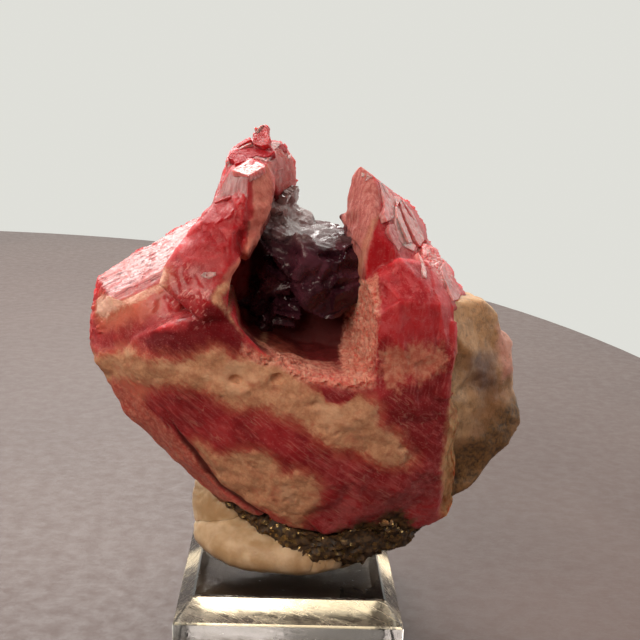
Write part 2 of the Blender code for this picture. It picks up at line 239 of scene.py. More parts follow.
# The sky is the bright room behind the stone, brightest high up, and the dim room in front of it.
studio = bpy.data.worlds.new("studio")
sky = Finish(studio, "Generated")
facing_back = sky.node("SeparateXYZ", None, {0: sky.place}, "Y").ramp(-0.45, 0.55)
facing_up = sky.node("SeparateXYZ", None, {0: sky.place}, "Z").ramp(0.13, 0.50)
glow = sky.mix(facing_back, (0.085, 0.066, 0.057), (0.74, 0.74, 0.695))
brightness = 1 + facing_up * facing_back * 1.8
background = sky.node("Background", None, {"Color": glow, "Strength": brightness}, "Background")
sky.node("OutputWorld", None, {"Surface": background}, None)
bpy.context.scene.world = studio
bpy.context.scene.view_settings.view_transform = "Standard"


# ---------------------------------------------------------------------------------------------
# Rhodochrosite: one intergrown group of cherry-red rhombs, a striated wedge and two spires over a
# banded foot of the same mineral. It is soft manganese carbonate with three glassy cleavages, and
# cream bands of altered carbonate run through it. It grew in place on the quartz.
SKIN_VOXEL, CHIP_VOXEL = 0.27 * MM, 0.12 * MM
MOST_TRIANGLES = 196000
AHEAD = -40  # mm (y), in front of everything
WEDGE_START, WEDGE_END = Vector((-35.5, 6, 61.5)), Vector((-13, 11, 75.3))
WEDGE_UP = Vector((-82, -65.5, 158)).normalized()
MIRROR_PLACE, MIRROR_UP = (-9, -9, 81.5), Vector((-4, -6, 24)).normalized()
MIRROR_FACET = [(-12, -5), (-9, -9.2), (-6, -5), (-8.5, -3.8)]  # mm (x, y), near the left spire's top
CLEAVAGES = [
    Vector(n).normalized() for n in ((-0.30, -0.52, 0.80), (0.86, -0.48, 0.18), (-0.62, -0.76, 0.05))]
LONGEST_LINE = 40.0  # mm; lines through the stone are followed so far
STONE_LIMIT = 30.0  # mm; what counts as the thickness where such a line finds no far side
LIGHT_REACH = 5.0  # mm of stone over which the painted backlight glow fades to about a third
FEWEST_STEPS = 6  # in a patch of broken cleavage
LEAST_FORWARD = 0.28  # how far a chip faces the front at the least, from 0 to 1
CHIP_LEVEL = 80  # per cent of the skin at a chip lies below the level that its top is raised from

# Bands and patches of the front, in mm (x, z).
CREAM_BAND = [
    (-37, 51), (-32.5, 51.5), (-31, 51.5), (-28, 53.5), (-24, 51.5), (-22, 52.5), (-19, 52), (-16.5, 53),
    (-15, 54), (-13.5, 54.5), (-12, 54), (-10.5, 53), (-7, 53), (-4, 53.5), (-1, 51.5), (0.5, 51),
    (1, 49.5), (2, 48.5), (4, 47.5), (4.5, 46.5), (6.5, 46.5), (8, 47.5), (9.5, 48), (11.5, 47.5),
    (12.5, 46), (13, 43.5), (14, 42.5), (15.5, 42), (16.5, 41.5), (17, 40), (18.5, 38), (19.5, 37),
    (18, 36), (14.5, 36), (13, 37), (10.5, 38), (8.5, 39), (7, 39), (5, 39.5), (3.5, 40.5), (2, 42),
    (-1, 44), (-2, 44), (-3.5, 44.5), (-4.5, 45.5), (-6.5, 45.5), (-8.5, 45), (-10.5, 45), (-12, 46),
    (-13, 47), (-20.5, 48.5), (-23, 47.5), (-26, 47.5), (-29.5, 48), (-32.5, 46), (-37, 46)]
CREAM_PATCH = [
    (-17, 37), (-16.5, 37.5), (-15, 37), (-13.5, 36), (-12, 35.5), (-10, 36.5), (-6, 37.5), (-4.5, 37.5),
    (-3, 36.5), (-2, 35), (-1.5, 33.5), (-0.5, 33.5), (1, 35), (2.5, 34.5), (4, 33.5), (4.5, 32), (5, 30),
    (4, 28), (2, 25), (1.5, 23), (0.5, 23), (-1, 25), (-4, 26), (-6.5, 27), (-8, 27), (-10.5, 28.5),
    (-12, 29.5), (-13.5, 31), (-15.5, 35)]
CREAM_LIP = [
    (-34.6, 57.4), (-33.6, 58.8), (-31, 60.5), (-30, 61.5), (-28.5, 62), (-26.5, 62), (-24, 64.5),
    (-22, 66), (-21.5, 65.5), (-22, 64), (-24, 62), (-25, 61.5), (-27, 60.3), (-29, 59.4), (-30.5, 58.4),
    (-32, 57), (-33.2, 56), (-34.2, 56.2)]
CAVITY_RIM = [
    (-10.5, 66), (-11, 64), (-12, 63), (-11.5, 62), (-11, 60.5), (-9.5, 58), (-8, 56), (-6, 54.5),
    (-4.5, 53.5), (-6, 53.3), (-8, 55.3), (-9.7, 57.3), (-11.3, 59), (-12, 60.5), (-12.8, 61.5),
    (-14, 62), (-14.5, 63), (-14, 64), (-12.5, 65.5)]
SPIRE_SIDE = [
    (-8.7, 81), (-6, 83), (-5.2, 80), (-5, 77.5), (-5.5, 75.5), (-6.5, 73), (-11, 64), (-12.6, 65.5),
    (-11.4, 67.5), (-9.6, 69), (-8.7, 72.5)]
SALMON_CORNER = [(-36, 58), (-31, 60), (-26, 61), (-23, 60), (-25, 57.5), (-33, 53.5), (-36, 54)]
MATTE_FACE = [
    (8.5, 84), (10.5, 82.5), (12.5, 79), (12.3, 76), (11.3, 74), (10.3, 69.5), (10, 65), (7, 65), (6, 72),
    (5, 78)]
QUARTZ_SIDE = [
    (29, 60.5), (26.8, 59), (26.2, 57), (25.6, 50.5), (25.2, 43.5), (25.2, 32.5), (26.5, 28), (26.5, 10),
    (60, 10), (60, 60.5)]
GOLDEN_LINE = [
    (12.4, 75.8), (11.2, 73.8), (10.2, 70), (9.9, 65.8), (9.4, 64.6), (9.2, 67.5), (9.7, 71.5), (10.9, 75.2)]
SHOULDER = [
    (18.6, 69.8), (21, 70.6), (22.4, 69.8), (24.7, 67.3), (26, 65), (24.7, 62.9), (23.4, 65), (21.9, 67),
    (20.1, 68.3)]
BLADE_FIELD = [
    (10.5, 83), (12, 82.5), (16.5, 79.5), (21, 74), (21.5, 70.5), (19, 69), (16.5, 70.2), (15, 71.8),
    (14.2, 74), (13, 76), (13, 79)]
GROOVE = [
    (13.1, 79.5), (13.8, 76.5), (14, 74.5), (13, 76), (12.6, 78.5)]
STRIATED_FACE = [
    (-17, 76.6), (-14.6, 76.9), (-12.2, 78), (-11, 78.3), (-8, 77.8), (-8, 82), (-9, 82.2),
    (-12, 83.8), (-16, 80)]
FRONT_EDGE = [(-9, 81.4), (-8.3, 81.7), (-8.3, 77), (-8.2, 75), (-8.9, 74.5), (-9.1, 78.5)]
BROWN_FACE = [(-6.3, 85), (-3.2, 86.5), (0, 84), (0, 79), (-4.1, 78), (-5.3, 80), (-6.1, 82.5)]
RIM_TEETH = [
    (-9, 55.5), (-6, 53.8), (-3, 53.5), (0, 51.8), (4, 51.2), (8, 50.8), (12, 51.5), (12, 49.8), (8, 49.4),
    (4, 49.8), (0, 50.3), (-3, 52.2), (-6, 52.6), (-9, 54.3)]
SPARKLE_ZONE = [(-26, 60), (-22, 64.5), (-20, 68), (-16, 67), (-13.5, 63.5), (-14, 58.5), (-22, 56.5)]
DRUSE_STRIP = [
    (9.5, 64.5), (12, 66.5), (12.3, 63), (12, 59.5), (12, 55), (11.5, 51.5), (10.5, 50), (8, 50.5),
    (7, 51), (7.5, 52.5), (8, 55.5), (8.5, 61)]
FLANK_PATCH = [
    (12.5, 55.5), (15, 57), (17.5, 56.5), (20, 57), (22.5, 56.5), (24, 55), (23.5, 52), (22, 51),
    (19.5, 50), (17.5, 51), (16, 50.5), (16, 49), (14, 49), (13, 51), (12.5, 53)]
ORANGE_LEFT = [
    (-34, 46.5), (-32, 51), (-27.5, 52.5), (-24, 52.5), (-24, 49.5), (-24.5, 44.5), (-26.5, 41.5),
    (-29, 44)]
ORANGE_STREAK = [(-18.5, 57), (-16.5, 57.5), (-14.5, 57), (-15, 55.5), (-18.5, 55.5)]
MAROON_LEFT = [
    (-24, 56), (-21.5, 57.5), (-18, 59), (-15, 59), (-12, 56), (-12, 54.5), (-15, 54.5), (-16.5, 53),
    (-19, 52.5), (-21.5, 52.5), (-23.5, 53), (-25, 54.5)]
DEEP_FACET = [
    (-15, 62), (-12.5, 62), (-11, 59.5), (-8.5, 57), (-6, 54), (-4.5, 53.5), (-7, 53), (-9.5, 53.5),
    (-13.5, 55.5), (-15.5, 57.5)]
RED_UNDER_RIM = [(3.5, 49.5), (6, 50), (8, 49.5), (9.5, 49), (8, 47.5), (6.5, 47), (4.5, 47)]
DEEP_TRIANGLE = [(11.2, 74), (15.5, 70), (10.2, 65.5)]
LOWER_DARK = [
    (13, 48.5), (15.5, 50), (18, 50), (21, 51), (23.5, 49.5), (24.5, 41.5), (25, 34.5), (25, 29),
    (22.5, 28.5), (18.5, 32), (14.5, 30), (11, 32), (9.5, 35.5), (12, 36), (16.5, 35.5), (19.5, 36),
    (20, 37.5), (18, 40.5), (16.5, 43), (14.5, 44.5), (13.5, 46.5)]
MAROON_BLOCK = [(11, 35.5), (13.5, 36), (16.5, 36), (18, 34), (18, 31), (17, 27.5), (14.5, 26), (12, 29.5)]
LEFT_EDGE_STRIP = [
    (-31.5, 47), (-27, 43.5), (-23, 40.5), (-20.5, 38.5), (-18, 36), (-16.5, 34), (-14.5, 31), (-12.5, 28.5),
    (-9, 26), (-5, 24), (-10, 20), (-20, 28), (-32, 38)]
SEAM_LINE = [
    (-20.5, 39.8), (-18, 37.2), (-16.3, 35.2), (-14.3, 32.2), (-12.2, 29.6), (-8, 26.8), (-4, 25),
    (-4.6, 24.4), (-8.5, 26), (-12.8, 28.8), (-15, 31.4), (-17, 34.3), (-18.8, 36.5)]
CRUST_EDGE = [
    (-14, 26), (-12.5, 25), (-9, 24.3), (-5.5, 24.2), (-3, 22.5), (-0.5, 21.8), (1.5, 22.2), (5.5, 22.2),
    (9, 23.5), (11.5, 25), (14, 24.5), (15.5, 26.5), (18, 27), (20.5, 24.5), (22, 21), (22, 10), (-16, 10)]


def pick(*pieces):
    """Selects the pieces and makes the first one active."""
    bpy.ops.object.select_all(action="DESELECT")
    for piece in pieces:
        piece.select_set(True)
    bpy.context.view_layer.objects.active = pieces[0]


def copy_of(node, name, voxel):
    """A copy of a solid, remade as one closed skin of small even faces."""
    piece = bpy.data.objects.new(name, bpy.data.objects[node].data.copy())
    piece.data.name = name
    piece.data.materials.clear()
    bpy.context.scene.collection.objects.link(piece)
    pick(piece)
    bpy.ops.object.mode_set(mode="EDIT")
    bpy.ops.mesh.select_all(action="SELECT")
    bpy.ops.mesh.remove_doubles(threshold=0.001 * MM)
    bpy.ops.object.mode_set(mode="OBJECT")
    reshape(piece, "even skin", "REMESH", mode="VOXEL", voxel_size=voxel)
    return piece


def points_of(piece):
    """The piece's points in mm and their outward directions."""
    count = len(piece.data.vertices)
    places, outward = np.empty(count * 3), np.empty(count * 3)
    piece.data.vertices.foreach_get("co", places)
    piece.data.vertices.foreach_get("normal", outward)
    return places.reshape(-1, 3) / MM, outward.reshape(-1, 3)


def move_to(piece, places):
    """Moves the piece's points to places in mm."""
    piece.data.vertices.foreach_set("co", (places * MM).ravel())
    piece.data.update()


def move_out(piece, amounts):
    """Moves each point along its outward direction by its amount in mm."""
    places, outward = points_of(piece)
    move_to(piece, places + outward * amounts[:, None])


def keep_readings(piece, **readings):
    """Stores numbers for each point, which the material looks up by name."""
    for name, values in readings.items():
        layer = piece.data.attributes.new(name, "FLOAT", "POINT")
        layer.data.foreach_set("value", np.ascontiguousarray(values, dtype=np.float32))


def lumps(places, size, seed, detail=2, stretch=(1, 1, 1), where=None):
    """Soft noise from about -1 to 1 with lumps about size mm across.

    Where a mask from 0 to 1 is given, the noise is worked out only there, and fades out with it.
    """
    chosen = np.arange(len(places)) if where is None else np.flatnonzero(where > 0.01)
    scaled = places[chosen] / (size * np.array(stretch)) + seed * 7.31
    total, found, weight = np.zeros(len(places)), np.zeros(len(chosen)), 1.4
    for octave in range(detail):
        found += weight * np.fromiter(map(noise.noise, (scaled * 2 ** octave).tolist()), float, len(chosen))
        weight *= 0.5
    total[chosen] = found if where is None else found * where[chosen]
    return total


def smooth(values, low, high):
    """0 below low, 1 above high, and a smooth rise between them."""
    t = np.clip((values - low) / (high - low), 0, 1)
    return t * t * (3 - 2 * t)


def depth_inside(flat, outline):
    """How far each (x, z) point lies inside a closed outline, in mm; outside is negative."""
    corners = np.array(outline, float)
    nearest, inside = np.full(len(flat), 1e9), np.zeros(len(flat), bool)
    for start, end in zip(corners, np.roll(corners, -1, 0)):
        run = end - start
        along = np.clip((flat - start) @ run / (run @ run), 0, 1)
        gap = np.linalg.norm(flat - start - along[:, None] * run, axis=1)
        nearest = np.minimum(nearest, gap)
        if start[1] != end[1]:
            crossing = start[0] + (flat[:, 1] - start[1]) / run[1] * run[0]
            inside ^= ((start[1] > flat[:, 1]) != (end[1] > flat[:, 1])) & (flat[:, 0] < crossing)
    return np.where(inside, nearest, -nearest)


def cleave(places, outward, where, size, depth, seed, stretch=(1, 1, 1), along=0.5, facets=CLEAVAGES):
    """Breaks a patch into flat steps about size mm wide, each parallel to one of the facets.

    where is 0 to 1 per point, and a step turns to other facets more often as along rises.
    Returns how far each point moves out, in mm.
    """
    draw = np.random.default_rng(seed)
    chosen = np.flatnonzero(where > 0.03)
    spread = np.array(stretch, float)
    count = max(FEWEST_STEPS, int(len(chosen) * (SKIN_VOXEL / MM / size) ** 2 / spread.prod() ** 0.5))
    middles = draw.choice(chosen, count, replace=False)
    tree = KDTree(count)
    for index, middle in enumerate(middles):
        tree.insert(places[middle] / spread, index)
    tree.balance()
    planes = []
    for middle in middles:
        facing = np.array([abs(n.dot(Vector(outward[middle]))) + draw.uniform(0, along) for n in facets])
        planes.append(facets[int(facing.argmax())])
    planes = np.array(planes)
    lift = draw.uniform(-0.35, 0.35, count) * depth
    wander = lumps(places[chosen], size * 0.8, seed, 1)
    strayed = places[chosen] / spread + 0.10 * size * wander[:, None]
    nearest = np.fromiter((tree.find(p)[1] for p in strayed.tolist()), int, len(chosen))
    facing = (planes[nearest] * outward[chosen]).sum(1)
    facing = np.copysign(np.maximum(np.abs(facing), 0.3), facing)
    step = ((places[middles[nearest]] - places[chosen]) * planes[nearest]).sum(1) / facing
    moved = np.zeros(len(places))
    moved[chosen] = np.clip(step, -depth, depth) + lift[nearest]
    return moved * where


def soften(piece, values, rounds):
    """Evens a reading out over neighbouring points."""
    links = np.empty(len(piece.data.edges) * 2, dtype=np.int32)
    piece.data.edges.foreach_get("vertices", links)
    near, far = links.reshape(-1, 2).T
    count = len(values)
    many = 1 + np.bincount(near, minlength=count) + np.bincount(far, minlength=count)
    for _ in range(rounds):
        values = (values + np.bincount(near, values[far], count)
                  + np.bincount(far, values[near], count)) / many
    return values


def fibres(places, run, size, length, seed, where):
    """Noise drawn out along one direction, like the grain of wood."""
    run = Vector(run).normalized()
    side = run.cross(Vector((0, 1, 0.01))).normalized()
    turned = places @ np.array([side, run.cross(side), run]).T
    return lumps(turned, size, seed, 2, (1, 1, length / size), where)


def slates(across, pitch):
    """A saw-tooth from -0.5 to 0.5: one low step for each pitch."""
    part = across / pitch
    return part - np.floor(part) - 0.5


def skin_of(piece):
    """The piece's surface in mm, to look for points on."""
    faces = [tuple(face.vertices) for face in piece.data.polygons]
    return BVHTree.FromPolygons([v.co / MM for v in piece.data.vertices], faces)


def front_of(skin, across, up):
    """Where a line straight back from the front at (across, up) first meets the skin, or None."""
    return skin.ray_cast(Vector((across, AHEAD, up)), Vector((0, 1, 0)), -2 * AHEAD)[0]


def plate(name, outline, skin, raised, thick=1.2, tone=1.0):
    """A flat chip of crystal lying on the skin, its outline in mm (x, z) as seen from the front."""
    corners = np.array(outline, float)
    middle = corners.mean(0)
    looked_at = np.concatenate((corners, (corners + middle) / 2, [middle]))
    hits = [front_of(skin, px, pz) for px, pz in looked_at]
    spots = np.array([hit for hit in hits if hit is not None])
    centre = np.median(spots, axis=0)
    near = spots[np.linalg.norm(spots - centre, axis=1) < 1.2 * np.ptp(corners, axis=0).max()]
    centre = near.mean(0)
    facing = np.linalg.svd(near - centre)[2][2]
    facing *= -np.sign(facing[1])
    facing[1] = min(facing[1], -LEAST_FORWARD)
    facing /= np.linalg.norm(facing)
    height = np.percentile((near - centre) @ facing, CHIP_LEVEL) + raised
    bpy.ops.mesh.primitive_circle_add(vertices=len(corners), radius=MM, fill_type="NGON")
    piece = bpy.context.object
    piece.name = name
    for vertex, (px, pz) in zip(piece.data.vertices, corners):
        flat = (height - (px - centre[0]) * facing[0] - (pz - centre[2]) * facing[2]) / facing[1]
        vertex.co = Vector((px, centre[1] + flat, pz)) * MM
    piece.data.update()
    if piece.data.polygons[0].normal.dot(Vector(facing)) < 0:
        piece.data.flip_normals()
    reshape(piece, "thickness", "SOLIDIFY", thickness=thick * MM, offset=-1)
    reshape(piece, "worn edges", "REMESH", mode="VOXEL", voxel_size=CHIP_VOXEL)
    grains = points_of(piece)[0]
    grained = fibres(grains, (0.45, 0, -0.9), 0.45, 2.4, 91, np.full(len(grains), 0.05))
    move_out(piece, grained + lumps(grains, 0.9, 93, 2, where=np.full(len(grains), 0.06)))
    count = len(piece.data.vertices)
    keep_readings(piece, chip=np.ones(count), pale=np.full(count, tone))
    return piece


def seat(piece, carrier, reach, bite):
    """Draws the piece's points that lie within reach mm of its carrier onto it, bite mm deep."""
    skin = skin_of(carrier)
    for point in piece.data.vertices:
        spot, facing, _, gap = skin.find_nearest(point.co / MM, reach)
        if spot is not None and (point.co / MM - spot).dot(facing) > 0:
            pull = 1 - max(0.0, (gap - 0.7 * reach) / (0.3 * reach))
            point.co = point.co.lerp((spot - facing * bite) * MM, pull)
    piece.data.update()


def on_front(outline, rear):
    """How far each of the stone's points lies inside an outline of its front, fading behind y = rear."""
    return depth_inside(front, outline) - np.clip(y - rear, 0, 9)


crystals = copy_of("rhodochrosite", "rhodochrosite_crystals", SKIN_VOXEL)
places, outward = points_of(crystals)
x, y, z = places.T
front = np.column_stack((x, z))

# Where each kind of face and break lies, from 0 to 1 for each point; places are in mm.
on_wedge = (smooth(-np.abs((places - np.array(WEDGE_START)) @ np.array(WEDGE_UP)), -0.8, -0.35)
            * smooth(outward @ np.array(WEDGE_UP), 0.8, 0.95) * smooth(-x, 12, 14))
faces_left = outward @ np.array(Vector((-0.55, -0.83, 0.1)).normalized())
on_spire_face = (smooth(faces_left, 0.82, 0.93) * smooth(-x, 8.2, 8.8)
                 * smooth(depth_inside(front, STRIATED_FACE), -0.3, 0.2))
on_mirror = (smooth(-np.abs((places - np.array(MIRROR_PLACE)) @ np.array(MIRROR_UP)), -0.5, -0.25)
             * smooth(outward @ np.array(MIRROR_UP), 0.85, 0.95) * smooth(z, 80.5, 81)
             * smooth(depth_inside(places[:, :2], MIRROR_FACET), -0.5, 0.1))
on_crown = smooth(z, 81.5, 82.5) * smooth(-x, 3, 5) * (1 - on_mirror)
on_spire = smooth(z, 69, 71) * smooth(-x, -2, -1) * (1 - on_spire_face) * (1 - on_crown) * (1 - on_mirror)
on_lump = (smooth(x, -23, -21.5) * smooth(-x, 8, 9) * smooth(z, 57.5, 59.5) * smooth(-z, -79, -78)
           * smooth(-y, -9, -5) * (1 - on_wedge) * (1 - on_spire_face))
on_sparkle = smooth(depth_inside(front, SPARKLE_ZONE), -0.8, 0.6) * smooth(-y, 1, 3)
on_blades = smooth(depth_inside(front, BLADE_FIELD), -0.3, 0.3)
on_shoulder = smooth(depth_inside(front, SHOULDER), -0.5, 0.5)
on_flank = smooth(x, 11.8, 12.8) * smooth(z, 44, 51) * (1 - on_blades) * smooth(-y, -8, -2)
in_hollow = smooth(x, -9.5, -8.5) * smooth(-x, -9.5, -8.5) * smooth(z, 50.5, 51.5) * smooth(y, -14, -12.5)
on_back = smooth(outward[:, 1], 0.25, 0.55) * smooth(y, 3, 6)
in_hollow *= (1 - smooth(z, 77, 79)) * (1 - on_back)
flat_faces = np.maximum.reduce([on_wedge, on_spire_face, on_mirror])

# How far each point lies inside the bands and patches, in mm; outside is negative.
cream = np.maximum(
    depth_inside(np.column_stack((x, z + 0.16 * (y + 13))), CREAM_BAND),
    depth_inside(np.column_stack((x - 0.2 * (y + 11), z + 0.1 * (y + 11))), CREAM_PATCH))
lip = on_front(CREAM_LIP, 3) + 0.35 - 6 * on_wedge
cream = np.maximum(cream, lip)
cream -= 4 * smooth(depth_inside(front, RED_UNDER_RIM), -0.2, 0.6) * smooth(-y, 8, 11)
druse = on_front(DRUSE_STRIP, 3)
spire_side = on_front(SPIRE_SIDE, 1) - 3 * on_mirror
# The deep facet below the rim and the maroon patch: partly their own deep maroon, darkened further with
# painted shade.
shade = np.maximum(on_front(DEEP_FACET, 0), on_front(MAROON_LEFT, 0))
deep = np.maximum.reduce([
    on_front(DEEP_FACET, 0), on_front(MAROON_LEFT, -4), on_front(RED_UNDER_RIM, -8),
    on_front(DEEP_TRIANGLE, 0) + 0.5, on_front(GROOVE, 3) + 0.3, on_front(LOWER_DARK, -4),
    on_front(MAROON_BLOCK, -4) + 1.0])
orange = np.maximum.reduce([on_front(outline, -2) for outline in (ORANGE_LEFT, ORANGE_STREAK, SALMON_CORNER)])
matte_pink, rim = on_front(MATTE_FACE, 1), on_front(CAVITY_RIM, 3)
crusted, to_quartz, strip, seam = (
    depth_inside(front, outline) for outline in (CRUST_EDGE, QUARTZ_SIDE, LEFT_EDGE_STRIP, SEAM_LINE))
in_cream = smooth(cream, -0.6, 0.4)
matt = np.maximum.reduce([
    in_cream, smooth(rim, -0.3, 0.3), smooth(matte_pink, -0.3, 0.3), smooth(spire_side, -0.3, 0.3)])
druse_mask = smooth(druse, -0.5, 0.3)
glassy = smooth(z, 54, 60) * (1 - matt) * (1 - druse_mask)
lump_deep = on_lump * smooth(0.6 * x + 0.8 * z, 42, 49) * (1 - on_sparkle)

# The lump under the left spire is rounded: its edges are worn soft.
worn = np.column_stack([soften(crystals, places[:, axis], 14) for axis in range(3)])
places = places + (worn - places) * (on_lump * (1 - flat_faces))[:, None]
move_to(crystals, places)
places, outward = points_of(crystals)

# Broken cleavage: broad steps on the lump, small bright ones below it, long ones on the flank.
EVEN = (1, 1, 1)
bare = (1 - matt) * (1 - flat_faces)
left_end = smooth(-x, 32.5, 33.5) * smooth(z, 52, 54) * (1 - on_wedge) * (1 - 0.6 * matt)
on_teeth = smooth(depth_inside(front, RIM_TEETH), -0.4, 0.4) * smooth(-y, 8.5, 10)
relief = np.zeros(len(places))
for where, size, depth, seed, stretch, along in (
        (on_lump * (1 - on_sparkle) * bare, 8.0, 0.08, 3, EVEN, 0.5),
        (on_sparkle * bare, 1.9, 0.06, 5, (1, 1, 1.3), 0.9),
        (on_flank * (1 - druse_mask), 5.5, 0.09, 7, (0.8, 1, 2.2), 0.5),
        (on_shoulder, 0.8, 0.12, 9, EVEN, 1.2),
        (on_crown * (1 - matt), 2.2, 0.14, 10, EVEN, 0.4),
        (on_spire * bare, 3.0, 0.10, 12, (1, 1, 1.5), 0.5),
        (on_back * (1 - flat_faces), 6.0, 0.45, 19, EVEN, 0.8),
        (on_back * (1 - flat_faces), 1.9, 0.12, 20, EVEN, 0.8),
        (left_end, 1.4, 0.24, 13, EVEN, 0.9),
        (on_teeth, 1.0, 0.22, 15, EVEN, 1.1),
        (druse_mask, 1.0, 0.19, 17, EVEN, 1.2)):
    relief += cleave(places, outward, where, size, depth, seed, stretch, along)

# Growth lines run the length of the wedge's top, in low steps that break off here and there.
run = np.array((WEDGE_END - WEDGE_START).normalized())
across = places @ np.cross(np.array(WEDGE_UP), run)
length = places @ run
drift = lumps(places, 6, 21, 2, where=smooth(np.maximum(on_wedge, on_spire_face), 0, 0.01))
for pitch, height, seed in ((2.3, 0.17, 1.7), (0.9, 0.09, 4.1)):
    broken = np.floor(length / (pitch * 3.1) + lumps(places, 4, 23 + seed, 1, where=on_wedge))
    relief += on_wedge * height * slates(across + 0.35 * drift + (seed + 0.5 * broken) * pitch, pitch)
relief += on_spire_face * 0.07 * slates(x * 0.8 - y * 0.6 + 0.25 * drift, 0.85)

# Sugar-fine relief of the cream bands, with shallow pits, and the waviness of everything else.
pits = smooth(lumps(places, 2.0, 43, 2, where=in_cream), 0.66, 0.98)
relief += lumps(places, 3.0, 41, 3, where=0.20 * in_cream + 0.04 * matt)
relief += 0.10 * smooth(cream, -0.5, 1.5) - 0.15 * pits
relief += lumps(places, 3.2, 47, 3, where=0.14 * (1 - flat_faces) * (1 - 0.5 * glassy))
banded = smooth(-z, -57, -52) * (1 - in_hollow) * (1 - matt)
relief += fibres(places, (0.82, 0, -0.57), 0.9, 5.5, 51, 0.09 * banded)
relief += fibres(places, (0.1, 0, 1), 0.8, 5.0, 52, 0.05 * on_flank)
relief += lumps(places, 2.6, 49, 3, where=0.3 * in_hollow)
relief += lumps(places, 1.3, 53, 3, where=0.3 * smooth(crusted, -0.3, 0.5))
relief += 0.22 * smooth(strip, -0.2, 0.4) * smooth(-z, -46, -42) - 0.35 * smooth(seam, -0.3, 0.2)

# Beside the quartz the stone falls back a little, and the left spire's top is worn down for its tip.
low_right = smooth(x, 24.5, 27) * smooth(z, 22, 26) * smooth(-z, -42, -36) * smooth(-y, -4, 0)
right_edge = smooth(x, 24.6, 26) * smooth(z, 44, 48) * smooth(-z, -62, -60.5) * smooth(-y, -2, 2)
relief -= 1.1 * low_right + 0.9 * right_edge + 0.4 * smooth(to_quartz, -1.5, 0.5) * smooth(-y, 7, 10)
relief -= 0.35 * smooth(z, 86.3, 86.8) * smooth(-x, 5, 5.5)
move_out(crystals, relief)

# How much stone lies behind each point, towards the window. Thin edges get a painted
# glow of backlight in their colour; the quartz beside the stone gets none and the back hardly any.
places, outward = points_of(crystals)
solid = skin_of(crystals)
behind = Vector((-0.25, 0.80, 0.55)).normalized()
thick = np.full(len(places), STONE_LIMIT)
for index, (point, facing) in enumerate(zip(places, outward)):
    facing = Vector(facing)
    hit = solid.ray_cast(Vector(point) - facing * 0.05, (behind - facing * 0.6).normalized(), LONGEST_LINE)
    if hit[0] is not None:
        thick[index] = hit[3]
thin = soften(crystals, np.exp(-thick / LIGHT_REACH), 5)
thin *= (1 - smooth(to_quartz, -2.2, -0.6)) * (1 - 0.85 * on_back)

keep_readings(
    crystals, cream=cream, deep=deep, orange=orange, druse=druse, crusted=crusted, glassy=glassy,
    wedge=on_wedge, back=on_back, lump_deep=lump_deep, blades=on_blades, thin=thin, hollow=in_hollow,
    flank=on_flank, spire_side=spire_side, strip=strip, matte_pink=matte_pink, to_quartz=to_quartz,
    pits=pits, golden=on_front(GOLDEN_LINE, 3), lip=lip, mirror=on_mirror, spire_face=on_spire_face,
    rim=rim, shoulder=on_shoulder, front_edge=depth_inside(front, FRONT_EDGE),
    brown_face=depth_inside(front, BROWN_FACE), patch=on_front(FLANK_PATCH, -4), shade=shade,
    sparkle=on_sparkle, seam=seam, teeth=on_front(RIM_TEETH, -7))
reshape(crystals, "fewer triangles", "DECIMATE",
        ratio=min(1.0, MOST_TRIANGLES / (2 * len(crystals.data.polygons))))
